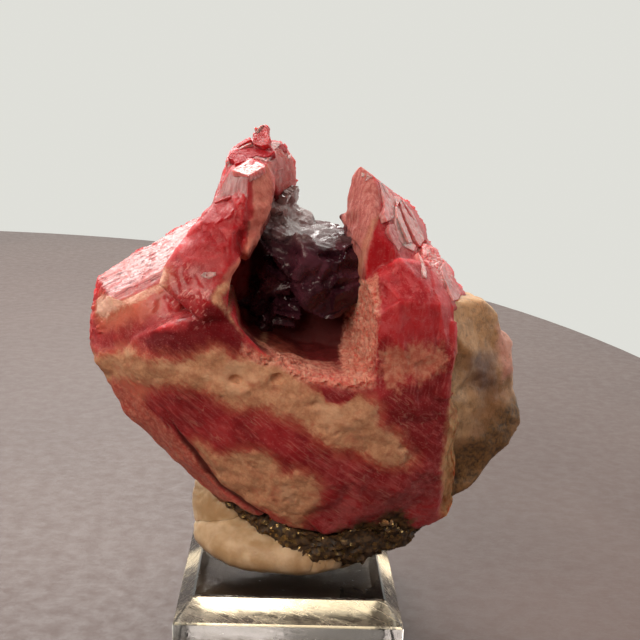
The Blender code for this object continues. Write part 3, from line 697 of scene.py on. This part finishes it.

# Crisp plates, chips and bright cleavage faces that lie on the crystals, in mm (x, z); their brightness is
# partly a painted glint in their pale tone.
PLATES = (
    ("mirror_facet", 0.05, 0.68, [
        (-11.7, 82), (-9, 81.5), (-6.5, 82.8), (-6.9, 83.2), (-8, 83.5), (-9.2, 83.6)]),
    ("behind_crack", 0.14, 0.45, [
        (-9, 83.8), (-8.1, 84.2), (-6.6, 84), (-6.2, 84.1), (-6.6, 83.6), (-7.8, 83.7)]),
    ("red_step", 0.12, 0.00, [
        (-12.5, 84.3), (-9.1, 85.6), (-6.1, 86), (-5.1, 85), (-5.7, 84.5), (-6.6, 84), (-8.1, 84.2),
        (-9.3, 83.6), (-11.4, 82.8), (-11.7, 83.3), (-12.6, 83.7)]),
    ("step_edge", 0.26, 0.45, [
        (-12.5, 83.9), (-11.7, 83.5), (-10.5, 83.9), (-9.4, 84.1), (-9.4, 83.9), (-10.5, 83.7),
        (-11.6, 83.2), (-12.5, 83.6)]),
    ("bright_bar", 0.25, 0.70, [(-11.8, 85), (-9.2, 86.4), (-9, 86), (-11, 85)]),
    ("rear_edge", 0.35, 0.20, [
        (-12.4, 84.9), (-11, 86), (-9.4, 86.9), (-9.2, 86.6), (-10.7, 85.7), (-12.1, 84.6)]),
    ("right_facet", 0.15, 0.75, [(-6.2, 86.2), (-4.6, 86.3), (-4.2, 85.8), (-5.3, 84.9), (-5.6, 85.2)]),
    ("facet_edge", 0.14, 0.50, [(-7, 83.7), (-5.1, 85), (-4.8, 84.8), (-6.4, 83.5)]),
    ("right_top", 0.12, 0.25, [(-3.5, 86), (-3, 85.2), (-3.1, 84.4), (-4.5, 85.2), (-4.2, 85.8)]),
    ("right_chip", 0.15, 0.90, [(-2.9, 84), (-2.4, 84.2), (-2.4, 83.6), (-2.9, 83.4)]),
    ("blade_a", 0.13, 0.62, [
        (12.1, 81), (12.9, 80.4), (14.6, 78.7), (15.4, 77.8), (15.1, 75.6), (14.8, 75), (13.3, 74.9),
        (12.8, 76.2), (13.1, 77.1), (12.9, 78.3), (12.5, 79.7)]),
    ("tip_facet", 0.08, 0.60, [(10.1, 82.2), (11.1, 81.6), (9.9, 80.7)]),
    ("tip_glint", 0.15, 1.00, [(9.1, 82.2), (9.6, 82), (9.7, 81.5), (9.2, 81.4)]),
    ("blade_b", 0.16, 0.72, [
        (14.8, 75.1), (15.6, 75), (16.9, 72.6), (17.6, 71.2), (16.6, 70.9), (15.8, 71.8), (14.9, 74)]),
    ("blade_c", 0.12, 0.50, [
        (13.7, 74.4), (14.7, 74.4), (15.4, 72.8), (16.1, 70.9), (15.5, 70.3), (14.5, 71.7), (13.7, 73.2)]),
    ("blade_d", 0.22, 0.66, [
        (16.2, 77.6), (17.1, 77.4), (18.9, 75.3), (20.7, 71.9), (21, 70.9), (20, 70.1), (19.2, 71),
        (17.8, 73.6), (16.6, 76)]),
    ("blade_e", 0.14, 0.60, [(15.2, 78.2), (16.4, 78), (16.7, 77.5), (15.5, 76.9)]),
    ("blade_f", 0.15, 0.76, [
        (15.3, 76.9), (16.1, 76.2), (17, 74), (17.9, 72), (18.3, 71), (17.5, 71.3), (16.2, 73.8),
        (15.4, 75.4)]),
    ("blade_g", 0.18, 0.85, [(17.2, 71.6), (19.1, 70.5), (18.5, 69.7), (16.6, 70.7), (16.4, 71)]),
    ("shoulder_streak", 0.14, 0.85, [
        (18.9, 70), (19.6, 69.1), (20.1, 67.3), (19.9, 66.5), (19.3, 67), (19.3, 68.6)]),
    ("shoulder_edge", 0.12, 0.55, [
        (23.1, 67.4), (23.9, 67.7), (24.7, 65.9), (26.6, 63.8), (27.1, 62.6), (26.3, 62.3), (24.7, 62.8),
        (23.9, 64.6), (23.1, 66.5)]),
    ("lump_glint", 0.06, 0.70, [(-15.9, 66.1), (-15.3, 66.7), (-13.4, 66.9), (-13.4, 66.3), (-14.6, 65.7)]),
    ("lump_ridge", 0.10, 0.30, [
        (-14.6, 76.8), (-13.2, 77.6), (-11.8, 78.2), (-11.8, 77.9), (-13.2, 77.3), (-14.6, 76.5)]))
SPIRE_TIP = [
    (-8.9, 86), (-8.9, 87.6), (-8.4, 87.8), (-8.6, 88.5), (-8.1, 88.4), (-7.7, 88.7), (-7, 89), (-6.5, 88.9),
    (-6.5, 87.8), (-6.1, 87), (-6.2, 86.1), (-7.4, 85.7)]
TIP_TOP = [
    (-8.4, 87.6), (-8.6, 88.5), (-8.1, 88.4), (-7.7, 88.8), (-7, 89.1), (-6.5, 89), (-6.5, 87.9),
    (-7.4, 87.4)]
chips = [plate(name, outline, solid, raised, tone=tone) for name, raised, tone, outline in PLATES]
chips.append(plate("spire_tip", SPIRE_TIP, solid, 0.25, thick=0.9, tone=0.30))
chips.append(plate("spire_tip_top", TIP_TOP, solid, 0.35, thick=0.9, tone=0.60))
pick(*chips)
bpy.ops.object.join()
plates = bpy.context.object
plates.name = plates.data.name = "rhodochrosite_plates"

red = Finish(bpy.data.materials.new("rhodochrosite_red"))
DOWN_RIGHT, UPRIGHT = (0, math.radians(-55), 0), (0, math.radians(4), 0)
glass_at, thin_at, wedge_at = red.reading("glassy"), red.reading("thin"), red.reading("wedge")
broad = red.cloud(7 * MM, 3)
blotch = red.cloud(2.4 * MM, 4, 0.6, warp=0.6)
fine = red.cloud(0.75 * MM, 4, 0.7)
speckle = red.cloud(0.32 * MM, 3, 0.7)
banded = red.cloud(0.6 * MM, 4, 0.6, stretch=(1, 1, 7), turn=DOWN_RIGHT, warp=0.5)
steep = red.cloud(0.55 * MM, 4, 0.6, stretch=(1, 1, 6), turn=UPRIGHT, warp=0.4)
upright = red.reading("flank").most(glass_at * 0.6)
fibre = banded * (1 - upright) + steep * upright
curl = red.cloud(1.1 * MM, 2, 0.5, stretch=(1, 1, 14), turn=DOWN_RIGHT, warp=0.3)
wisp = curl.line(0.5, 0.025) * red.cloud(4 * MM, 2, shift=(0.03, 0, 0)).ramp(0.45, 0.6)
veil = red.cloud(5 * MM, 4, 0.62, stretch=(1, 1, 0.6), turn=DOWN_RIGHT, warp=0.9).line(0.5, 0.06)

# The body of the stone: deep red where it is thick, milky veils and fibres inside it, and painted backlight
# glow where it is thin.
cloudy = red.cloud(2.6 * MM, 6, 0.72, warp=0.5, shift=(0, 0.02, 0))
glass_tone = red.layers(
    red.mix(broad.ramp(0.36, 0.64), (0.36, 0.012, 0.020), (0.60, 0.047, 0.057)),
    (cloudy.ramp(0.48, 0.61, 0.0, 0.65), (0.66, 0.13, 0.14)),
    (veil * (1 - red.reading("flank")) * 0.30, (0.68, 0.19, 0.195)))
flecks = red.cloud(0.55 * MM, 3, 0.6, stretch=(1, 1, 3), turn=(0, math.radians(40), 0), warp=0.3)
stone = red.layers(
    red.mix(broad.ramp(0.35, 0.68), (0.25, 0.017, 0.022), (0.40, 0.033, 0.040)),
    (blotch.ramp(0.45, 0.76, 0.0, 0.6), (0.48, 0.066, 0.066)),
    (glass_at * 0.85, glass_tone),
    (red.frayed("orange", blotch, 3.5, -1.4, 2.0, 0.80), (0.76, 0.23, 0.145)),
    (red.frayed("deep", blotch, 1.6, -0.5, 0.6, 0.88),
     red.mix(glass_at, (0.24, 0.018, 0.022), (0.44, 0.010, 0.018))),
    (fibre.ramp(0.48, 0.70, 0.0, 0.42) * (1 - glass_at * 0.35), (0.64, 0.18, 0.17)),
    (wisp * (1 - glass_at) * 0.35, (0.62, 0.34, 0.25)),
    (red.along("Z").ramp(27, 40, 0.42, 0.0) * blotch.ramp(0.35, 0.6), (0.50, 0.145, 0.145)),
    (red.reading("lump_deep") * blotch.ramp(0.40, 0.62, 0.75, 0.15), (0.40, 0.010, 0.017)),
    # Painted shade on the deep facet and the maroon patch.
    (red.frayed("shade", blotch, 1.6, -0.5, 0.6, 0.78), (0.15, 0.006, 0.011)),
    # Painted glints: tiny pale pink flecks over the sparkle zone.
    (red.reading("sparkle") * flecks.ramp(0.56, 0.64) * 0.55, (0.88, 0.42, 0.38)),
    (red.reading("back") * blotch.ramp(0.35, 0.62, 0.5, 0.92),
     red.mix(cloudy.ramp(0.42, 0.62), (0.135, 0.007, 0.011), (0.27, 0.036, 0.038))),
    # Painted light: thin edges glow pink-red, as if the window shone through them.
    (thin_at.ramp(0.12, 0.8, 0.0, 0.6), (0.85, 0.11, 0.13)),
    (speckle.ramp(0.56, 0.72, 0.0, 0.32), (0.74, 0.25, 0.25)),
    (red.reading("shoulder") * steep.ramp(0.40, 0.60, 0.25, 0.95), (0.66, 0.27, 0.25)))

# Growth faces: the wedge's top, the pale striated face and its edge, and the blades' own field.
# Beside them lie the hollow, its walls painted near-black with shade, the matt pink and golden faces (the
# golden line partly a painted glint along an edge) and the tan side of the left spire.
crack = red.cloud(1.3 * MM, 2, 0.5, stretch=(1, 1, 5), turn=(0, math.radians(62), 0)).line(0.47, 0.035)
growth = red.cloud(0.5 * MM, 3, 0.6, stretch=(1, 1, 16), turn=(0, math.radians(60), 0))
stone = red.layers(
    stone,
    (wedge_at * fine.ramp(0.3, 0.6, 0.6, 0.95), (0.56, 0.25, 0.25)),
    (wedge_at * growth.ramp(0.50, 0.64, 0.0, 0.65), (0.46, 0.075, 0.085)),
    (wedge_at * crack * 0.85, (0.16, 0.008, 0.014)),
    (red.reading("spire_face") * 0.9,
     red.mix(steep.ramp(0.35, 0.65), (0.48, 0.24, 0.25), (0.68, 0.45, 0.47))),
    (red.frayed("brown_face", blotch, 1.5, -0.4, 0.4, 0.85),
     red.mix(blotch.ramp(0.35, 0.65), (0.42, 0.065, 0.055), (0.58, 0.18, 0.155))),
    (red.reading("blades") * steep.ramp(0.35, 0.65, 0.2, 0.8), (0.50, 0.13, 0.125)),
    # Painted shade: the walls of the hollow are painted near-black.
    (red.reading("hollow") * 0.95, (0.085, 0.0025, 0.003)),
    (red.frayed("matte_pink", fine, 1, -0.5, 0.5, 0.9),
     red.mix(steep.ramp(0.35, 0.7), (0.47, 0.115, 0.10), (0.70, 0.29, 0.26))),
    # The golden line: a tan edge, partly a painted glint along it.
    (red.frayed("golden", fine, 1, -0.4, 0.5, 0.65), (0.56, 0.25, 0.14)),
    (red.frayed("spire_side", fine, 1.2, -0.4, 0.5, 0.9),
     red.mix(blotch.ramp(0.3, 0.7), (0.64, 0.155, 0.11), (0.80, 0.29, 0.215))),
    (red.reading("front_edge").ramp(-0.25, 0.15, 0.0, 0.9), (0.42, 0.014, 0.020)))

# Cream bands of altered stone: they fade through salmon into the red along the fibres. Then the
# sugary druse by the hollow, the quartz at the right, the strip at the left and the ore at the foot.
sugar_tone = red.layers(
    red.mix(fine.ramp(0.3, 0.7), (0.52, 0.235, 0.125), (0.68, 0.37, 0.215)),
    (blotch.ramp(0.5, 0.76, 0.0, 0.7), (0.52, 0.15, 0.09)),
    (broad.ramp(0.50, 0.66, 0.0, 0.6), (0.78, 0.49, 0.31)),
    # Painted shade: the pits are darkened.
    (red.reading("pits").ramp(0.2, 0.9, 0.0, 0.35), (0.30, 0.11, 0.06)),
    (red.frayed("lip", blotch, 1.2, -0.5, 0.4, 0.85), (0.95, 0.58, 0.46)))
rim_mask = red.frayed("rim", fine, 0.9, -0.1, 0.8, 0.75)
rim_tone = red.mix(fine.ramp(0.35, 0.65), (0.70, 0.34, 0.175), (0.92, 0.56, 0.34))
edge_wander = (blotch - 0.5) * 2.4 + (fibre - 0.5) * 2.4 + (fine - 0.5) * 1.2
cream_at = red.reading("cream") + edge_wander
cream_mask = cream_at.ramp(-0.8, 0.9).most(rim_mask)
patch_at = red.reading("patch") + (blotch - 0.5) * 5.5 + (steep - 0.5) * 1.8 + (fine - 0.5) * 2.0
druse_tone = red.mix(fine.ramp(0.35, 0.65), (0.58, 0.15, 0.105), (0.80, 0.40, 0.30))
crust_mask = (red.reading("crusted") + (blotch - 0.5) * 4.0 + (fine - 0.5) * 2.5).ramp(-1.0, 1.0)
stone = red.layers(
    stone,
    (cream_at.ramp(-2.4, 0.4, 0.0, 0.75), (0.50, 0.135, 0.085)),
    (cream_mask, red.mix(rim_mask, sugar_tone, rim_tone)),
    (patch_at.ramp(-0.6, 1.4, 0.0, 0.8),
     red.mix(fine.ramp(0.35, 0.65), (0.50, 0.15, 0.10), (0.62, 0.29, 0.19))),
    (red.frayed("teeth", fine, 1, -0.6, 0.5, 0.85), druse_tone),
    (red.frayed("druse", fine, 1.4, -0.5, 0.4, 0.9), druse_tone),
    ((red.reading("to_quartz") + edge_wander * 0.6).ramp(-1.4, 0.8),
     red.mix(blotch.ramp(0.35, 0.65), (0.29, 0.130, 0.050), (0.54, 0.29, 0.135))),
    (red.frayed("strip", fine, 0.8, -0.3, 0.5, 0.8),
     red.mix(fine.ramp(0.35, 0.7), (0.46, 0.095, 0.072), (0.70, 0.28, 0.20))),
    (red.reading("seam").ramp(-0.3, 0.2, 0.0, 0.8), (0.050, 0.008, 0.006)),
    (crust_mask, red.mix(fine.ramp(0.35, 0.65), (0.022, 0.010, 0.003), (0.13, 0.066, 0.022))))

# Plates and chips: pale and frosty, or clear red, as each one's own reading says. Their pale tones are partly
# painted glint and sheen, and the palest turn near-white.
chip_at, pale_at = red.reading("chip"), red.reading("pale")
frost_and_glint = pale_at + (steep - 0.5) * 0.5 + (blotch - 0.5) * 0.5
chip_tone = red.mix(frost_and_glint.ramp(0.1, 1.0), (0.40, 0.014, 0.022), (0.82, 0.38, 0.37))
stone = red.mix(chip_at, stone, red.mix(frost_and_glint.ramp(1.0, 1.4), chip_tone, (0.95, 0.66, 0.63)))

# Gloss: glassy cleavage, matt altered stone, and a polish on the faces that catch the window.
matte_parts = red.reading("matte_pink").most(red.reading("spire_side")).ramp(-0.3, 0.3)
dull = cream_mask.most(crust_mask).most(matte_parts).most(red.reading("hollow")) * (1 - chip_at)
gloss = fine.ramp(0.3, 0.7, 0.34, 0.52) * (1 - glass_at) + fine.ramp(0.3, 0.7, 0.12, 0.28) * glass_at
gloss = gloss * (1 - dull) + dull * 0.7
still = red.reading("mirror").most(chip_at)
gloss = gloss * (1 - still) + still * (0.46 - pale_at * 0.22)
polish = wedge_at * 0.27
for bright in (
        red.reading("spire_face") * 0.3, chip_at * pale_at.ramp(0.2, 0.9), red.reading("shoulder") * 0.6,
        cloudy.ramp(0.60, 0.68, 0.0, 0.5), red.reading("sparkle") * 0.4):
    polish = polish.most(bright)
height = blotch * 0.30 + fine * 0.34 + fibre * 0.28 + speckle * 0.18 + speckle * cream_mask * 0.22
grain = red.bump(height * (1 - still * 0.4) * (1 - glass_at * 0.30), 0.32 * MM)
clear_stone = red.principled(
    Base_Color=stone, Roughness=gloss, IOR=1.65, Specular_IOR_Level=0.10, Coat_Weight=polish,
    Coat_IOR=1.6, Coat_Roughness=0.16, Subsurface_Weight=0.75,
    Subsurface_Radius=(1.0, 0.10, 0.11), Subsurface_Scale=2.6 * MM, Normal=grain)
dull_stone = red.principled(
    Base_Color=stone, Roughness=gloss, IOR=1.60, Specular_IOR_Level=0.30, Subsurface_Weight=0.30,
    Subsurface_Radius=(1.0, 0.35, 0.25), Subsurface_Scale=1.2 * MM, Normal=grain)
red.coats(dull, clear_stone, dull_stone)
for piece in (crystals, plates):
    piece.data.materials.clear()
    piece.data.materials.append(red.owner)
pick(crystals)
bpy.ops.object.shade_smooth_by_angle(angle=math.radians(38))
for piece in (crystals, plates):
    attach(piece, "root")
    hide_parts("rhodochrosite")


# ---------------------------------------------------------------------------------------------
# Fluorite: dark purple cubes and a glossy stepped mass that fills the hollow between the spires.
# It grew on the rhodochrosite. Light only gets through its thin edges.
FLUORITE_VOXEL = 0.24 * MM
fluorite = copy_of("fluorite", "purple_fluorite", FLUORITE_VOXEL)
places, outward = points_of(fluorite)
CUBE_TURN = Matrix.Rotation(math.radians(28), 3, "Z") @ Matrix.Rotation(math.radians(24), 3, "X")
CUBE_FACES = [CUBE_TURN @ Vector(n) for n in ((1, 0, 0), (0, 1, 0), (0, 0, 1))]
ALL_OVER = np.ones(len(places))
SUNK = 0.30  # mm, so that the steps stay clear of the stone round them
relief = cleave(places, outward, ALL_OVER, 5.5, 0.50, 61, facets=CUBE_FACES, along=0.3)
relief += cleave(places, outward, ALL_OVER, 2.2, 0.07, 62, facets=CUBE_FACES, along=0.5)
relief = soften(fluorite, relief, 1) + 0.05 * lumps(places, 1.2, 65, 2) - SUNK
move_out(fluorite, relief)
seat(fluorite, crystals, 0.9, 0.12)

purple = Finish(bpy.data.materials.new("dark_purple_fluorite"))
tint = purple.mix(purple.cloud(3.5 * MM, 3).ramp(0.35, 0.7), (0.040, 0.008, 0.016), (0.14, 0.041, 0.066))
# Paler towards the top: partly the frosty upper column's own colour, partly painted glow of the window light
# through it.
tint = purple.mix(purple.along("Z").ramp(69, 76, 0.0, 0.9), tint, (0.50, 0.36, 0.35))
fluorite.data.materials.append(purple.coat(
    Base_Color=tint, Roughness=purple.cloud(1.5 * MM, 3).ramp(0.35, 0.7, 0.10, 0.30), IOR=1.434,
    Transmission_Weight=0.35, Normal=purple.bump(purple.cloud(1.2 * MM, 4, 0.6), 0.15 * MM)))
bpy.ops.object.shade_smooth_by_angle(angle=math.radians(30))
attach(fluorite, "root")
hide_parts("fluorite")


# ---------------------------------------------------------------------------------------------
# Quartz matrix: the vein quartz that the crystals grew on. It is a milky lump on the right and a
# thin dark crust of ore along the foot, full of small pyrite grains and stained by rust.
MATRIX_VOXEL = 0.42 * MM
quartz = copy_of("quartz_matrix", "quartz_matrix_rock", MATRIX_VOXEL)
places, outward = points_of(quartz)
x, y, z = places.T
front = np.column_stack((x, z))
RUST_EDGE = [
    (40.5, 44.5), (40.5, 40), (38, 35), (32, 29), (30.5, 25.5), (28.5, 23), (24, 19), (24, 24.5),
    (26.5, 29), (28, 32.5), (29.6, 35), (31.5, 37.5), (34.5, 40), (37, 42.5)]
PURPLE_SMUDGE = [(29.5, 53), (33.5, 52), (34, 47), (32, 46), (30, 48)]
PINK_EDGE = [(34, 57), (37.5, 55), (39, 53.5), (39, 48), (36, 47.5), (35, 51)]
rust = depth_inside(front, RUST_EDGE)
crust = np.maximum(26.5 - 0.10 * np.abs(x) - z, 0) * smooth(-x, -27, -24) + smooth(-z, -30, -24) * 0.5 - 0.4
ROCK_FACETS = [Vector(n).normalized() for n in (
    (0.5, -0.8, 0.3), (-0.6, -0.5, 0.6), (0.2, -0.4, -0.9), (0.9, 0.1, 0.4))]
on_crust = smooth(crust, -0.2, 0.6)
relief = 0.22 + on_crust * (0.7 * smooth(-z, -22, -18) - 0.28 * smooth(z, 20, 24))
relief += lumps(places, 5.0, 71, 3, where=0.30 * (1 - on_crust))
relief += cleave(places, outward, on_crust, 1.8, 0.26, 73, facets=ROCK_FACETS, along=0.8)
relief += lumps(places, 0.9, 75, 3, where=0.22 * on_crust)
move_out(quartz, relief)

# Beside the red stone the quartz front is drawn out to the left and forward until the two are
# flush, so that its edge runs on under the red stone's skin.
RED_EDGE, QUARTZ_START, FORWARD_END = 26.0, 30.0, 37.0  # mm (x)
FRONT_SLOPE = 0.72  # mm back for each mm to the right
MOST_FORWARD, MOST_BACK = -4.5, 0.5  # mm (y)
red_skin, own_skin = skin_of(crystals), skin_of(quartz)
levels = np.arange(26.0, 61.0, 1.0)
steps = []
for level in levels:
    fronts = front_of(red_skin, RED_EDGE, level), front_of(own_skin, QUARTZ_START, level)
    flush = 0.0 if None in fronts else fronts[0].y + FRONT_SLOPE * (QUARTZ_START - RED_EDGE) - fronts[1].y
    steps.append(min(max(flush, MOST_FORWARD), MOST_BACK))
steps = np.convolve(np.pad(steps, 3, "edge"), np.ones(7) / 7, "valid")
places = points_of(quartz)[0]
x, y, z = places.T
beside = smooth(x, 20, 24) * smooth(z, 24, 27) * smooth(-y, -7, 1)
drawn = (1 - smooth(x, 27.5, FORWARD_END)) * beside
places[:, 1] += np.interp(z, levels, steps) * drawn
places[:, 0] -= (1.8 + 1.2 * smooth(-z, -40, -34)) * (1 - smooth(x, 28.0, 34.5)) * beside
move_to(quartz, places)
keep_readings(
    quartz, rust=rust, crust=crust, smudge=depth_inside(front, PURPLE_SMUDGE),
    pink=depth_inside(front, PINK_EDGE) - np.clip(y - 4, 0, 9) * 0.6)

rock = Finish(bpy.data.materials.new("quartz_with_ore"))
blotch = rock.cloud(3.0 * MM, 4, 0.6)
fine = rock.cloud(0.7 * MM, 4, 0.65)
milky = rock.cloud(9 * MM, 3)
mottle = rock.cloud(1.9 * MM, 5, 0.75, warp=0.4, shift=(0, 0.01, 0))
flecks = rock.cloud(1.4 * MM, 4, 0.7, shift=(0.01, 0, 0))
rise = rock.along("Z")
beside_red = rock.along("X").ramp(27, 35, 0.6, 0.0) * rise.ramp(29, 35) * rise.ramp(49, 55, 1.0, 0.0)
crust_mask = rock.frayed("crust", blotch, 2.0, 0.0, 0.7)
speck = rock.cells(0.6 * MM).ramp(0.82, 0.88) * crust_mask
tone = rock.layers(
    rock.mix((milky * 0.7 + blotch * 0.3).ramp(0.38, 0.62), (0.28, 0.125, 0.047), (0.55, 0.29, 0.125)),
    (rise.ramp(46, 58, 0.0, 0.6), (0.68, 0.38, 0.165)),
    (beside_red * blotch.ramp(0.3, 0.6, 0.5, 1.0), (0.66, 0.42, 0.22)),
    (rock.along("Y").ramp(5, 13, 0.0, 0.75),
     rock.mix(blotch.ramp(0.35, 0.65), (0.25, 0.175, 0.12), (0.47, 0.37, 0.28))),
    (mottle.ramp(0.47, 0.61, 0.0, 0.42), (0.17, 0.088, 0.030)),
    (rock.frayed("smudge", blotch, 5, -2, 2, 0.8), (0.080, 0.030, 0.028)),
    (rock.frayed("pink", blotch, 3, -1, 1, 0.7), (0.62, 0.26, 0.22)),
    (flecks.ramp(0.56, 0.68, 0.0, 0.45), (0.15, 0.075, 0.022)),
    (rock.frayed("rust", blotch, 6, -1.6, 1.0, 0.9),
     rock.mix(fine.ramp(0.35, 0.62), (0.034, 0.018, 0.005), (0.20, 0.098, 0.026))),
    (crust_mask, rock.mix(fine.ramp(0.35, 0.65), (0.011, 0.005, 0.0014), (0.098, 0.050, 0.015))),
    (speck, (0.34, 0.24, 0.10)))
rough = (1 - speck) * (fine.ramp(0.3, 0.7, 0.38, 0.6) + crust_mask * 0.15) + speck * 0.2
quartz.data.materials.append(rock.coat(
    Base_Color=tone, Metallic=speck * 0.9, Roughness=rough, IOR=1.54, Subsurface_Weight=0.4,
    Subsurface_Radius=(1.0, 0.7, 0.45), Subsurface_Scale=1.6 * MM,
    Normal=rock.bump(blotch * 0.6 + fine * 0.4, 0.3 * MM)))
bpy.ops.object.shade_smooth_by_angle(angle=math.radians(40))
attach(quartz, "root")
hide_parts("quartz_matrix")


# ---------------------------------------------------------------------------------------------
# Mineral tack: a pressed ball of cream putty that holds the stone to the block. It keeps the
# thumb marks and the wrinkles where it was pushed up round the foot.
TACK_VOXEL = 0.45 * MM
tack = copy_of("mineral_tack", "mineral_tack_putty", TACK_VOXEL)
places = points_of(tack)[0]
x, y, z = places.T
relief = 0.25 * lumps(places, 5.0, 81, 2) + 0.06 * lumps(places, 1.1, 83, 2)
turn = np.arctan2(z - 26, x + 13)
relief += 0.22 * np.sin(turn * 26 + 2 * lumps(places, 4, 85, 1)) * smooth(z, 21, 25) * smooth(-x, 9, 11)
for spot, reach, sink in (
        ((-8.5, -11.5, 17.0), 2.2, 0.7), ((-13.4, -9, 23.0), 2.0, 0.5), ((3, -14, 16), 3.0, 0.5)):
    gap = np.linalg.norm(places - np.array(spot), axis=1)
    relief -= sink * np.exp(-(gap / reach) ** 2)
spread = 1.3 * smooth(-x, 2, 12) + 1.6 * smooth(-y, 6, 12) * smooth(-z, -22, -16)
move_out(tack, relief * smooth(z, 12.9, 13.8) + (0.15 + spread) * smooth(z, 13.2, 16))
seat(tack, quartz, 0.9, 0.1)
seat(tack, crystals, 0.9, 0.1)

putty = Finish(bpy.data.materials.new("cream_putty"))
soft = putty.cloud(4 * MM, 3)
lint = putty.cloud(0.5 * MM, 4, 0.7)
putty_tone = putty.layers(
    putty.mix(soft.ramp(0.35, 0.65), (0.48, 0.31, 0.16), (0.66, 0.49, 0.31)),
    (lint.ramp(0.62, 0.75, 0.0, 0.4), (0.30, 0.20, 0.12)),
    # Painted shade: darker towards the bottom, where the stone above shades it.
    (putty.along("Z").ramp(13.0, 18.0, 0.6, 0.0), (0.27, 0.165, 0.09)))
tack.data.materials.append(putty.coat(
    Base_Color=putty_tone, Roughness=soft.ramp(0.3, 0.7, 0.42, 0.58), Subsurface_Weight=0.3,
    Subsurface_Radius=(1.0, 0.6, 0.35), Subsurface_Scale=1.5 * MM,
    Normal=putty.bump(lint * 0.5 + soft * 0.5, 0.12 * MM)))
bpy.ops.object.shade_smooth()
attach(tack, "root")
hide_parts("mineral_tack")


# ---------------------------------------------------------------------------------------------
# Display block: a square of clear cast acrylic with wide polished bevels round its top. The top
# is scuffed and dusty from use, and the specimen is only pressed on. Painted shade darkens the top, painted
# light tints the bevels warm cream, and the front face is tinted near-black.
block = bpy.data.objects["acrylic_base"]
acrylic = Finish(bpy.data.materials.new("clear_acrylic"))
scuff = acrylic.cloud(2.5 * MM, 5, 0.7, stretch=(5, 0.5, 1), turn=(0, 0, math.radians(24)))
scratch = acrylic.cloud(3 * MM, 4, 0.6, stretch=(6, 0.4, 1), turn=(0, 0, math.radians(-18))).line(0.5, 0.03)
BEVEL_FOOT, BLOCK_TOP, FRONT_FACE = 9.2, 12.7, -19.0  # mm (z, z, y)
rise = acrylic.along("Z")
bevel = rise.ramp(BEVEL_FOOT, BEVEL_FOOT + 0.2) * rise.ramp(BLOCK_TOP - 0.3, BLOCK_TOP - 0.1, 1.0, 0.0)
sides = acrylic.mix(
    acrylic.along("Y").ramp(FRONT_FACE, FRONT_FACE + 0.2), (0.020, 0.017, 0.016), (0.50, 0.48, 0.45))
# Painted light and shade: warm cream bevels and a dark top.
clear = acrylic.layers(
    sides,
    (rise.ramp(BEVEL_FOOT - 0.3, BEVEL_FOOT + 0.1), (0.62, 0.50, 0.34)),
    (rise.ramp(BLOCK_TOP - 0.25, BLOCK_TOP - 0.05), (0.20, 0.185, 0.18)))
block.data.materials.clear()
block.data.materials.append(acrylic.coat(
    Base_Color=clear, Roughness=(scuff.ramp(0.5, 0.75, 0.02, 0.25) + scratch * 0.15 + bevel * 0.14), IOR=1.49,
    Transmission_Weight=1.0, Normal=acrylic.bump(scratch, 0.004 * MM)))
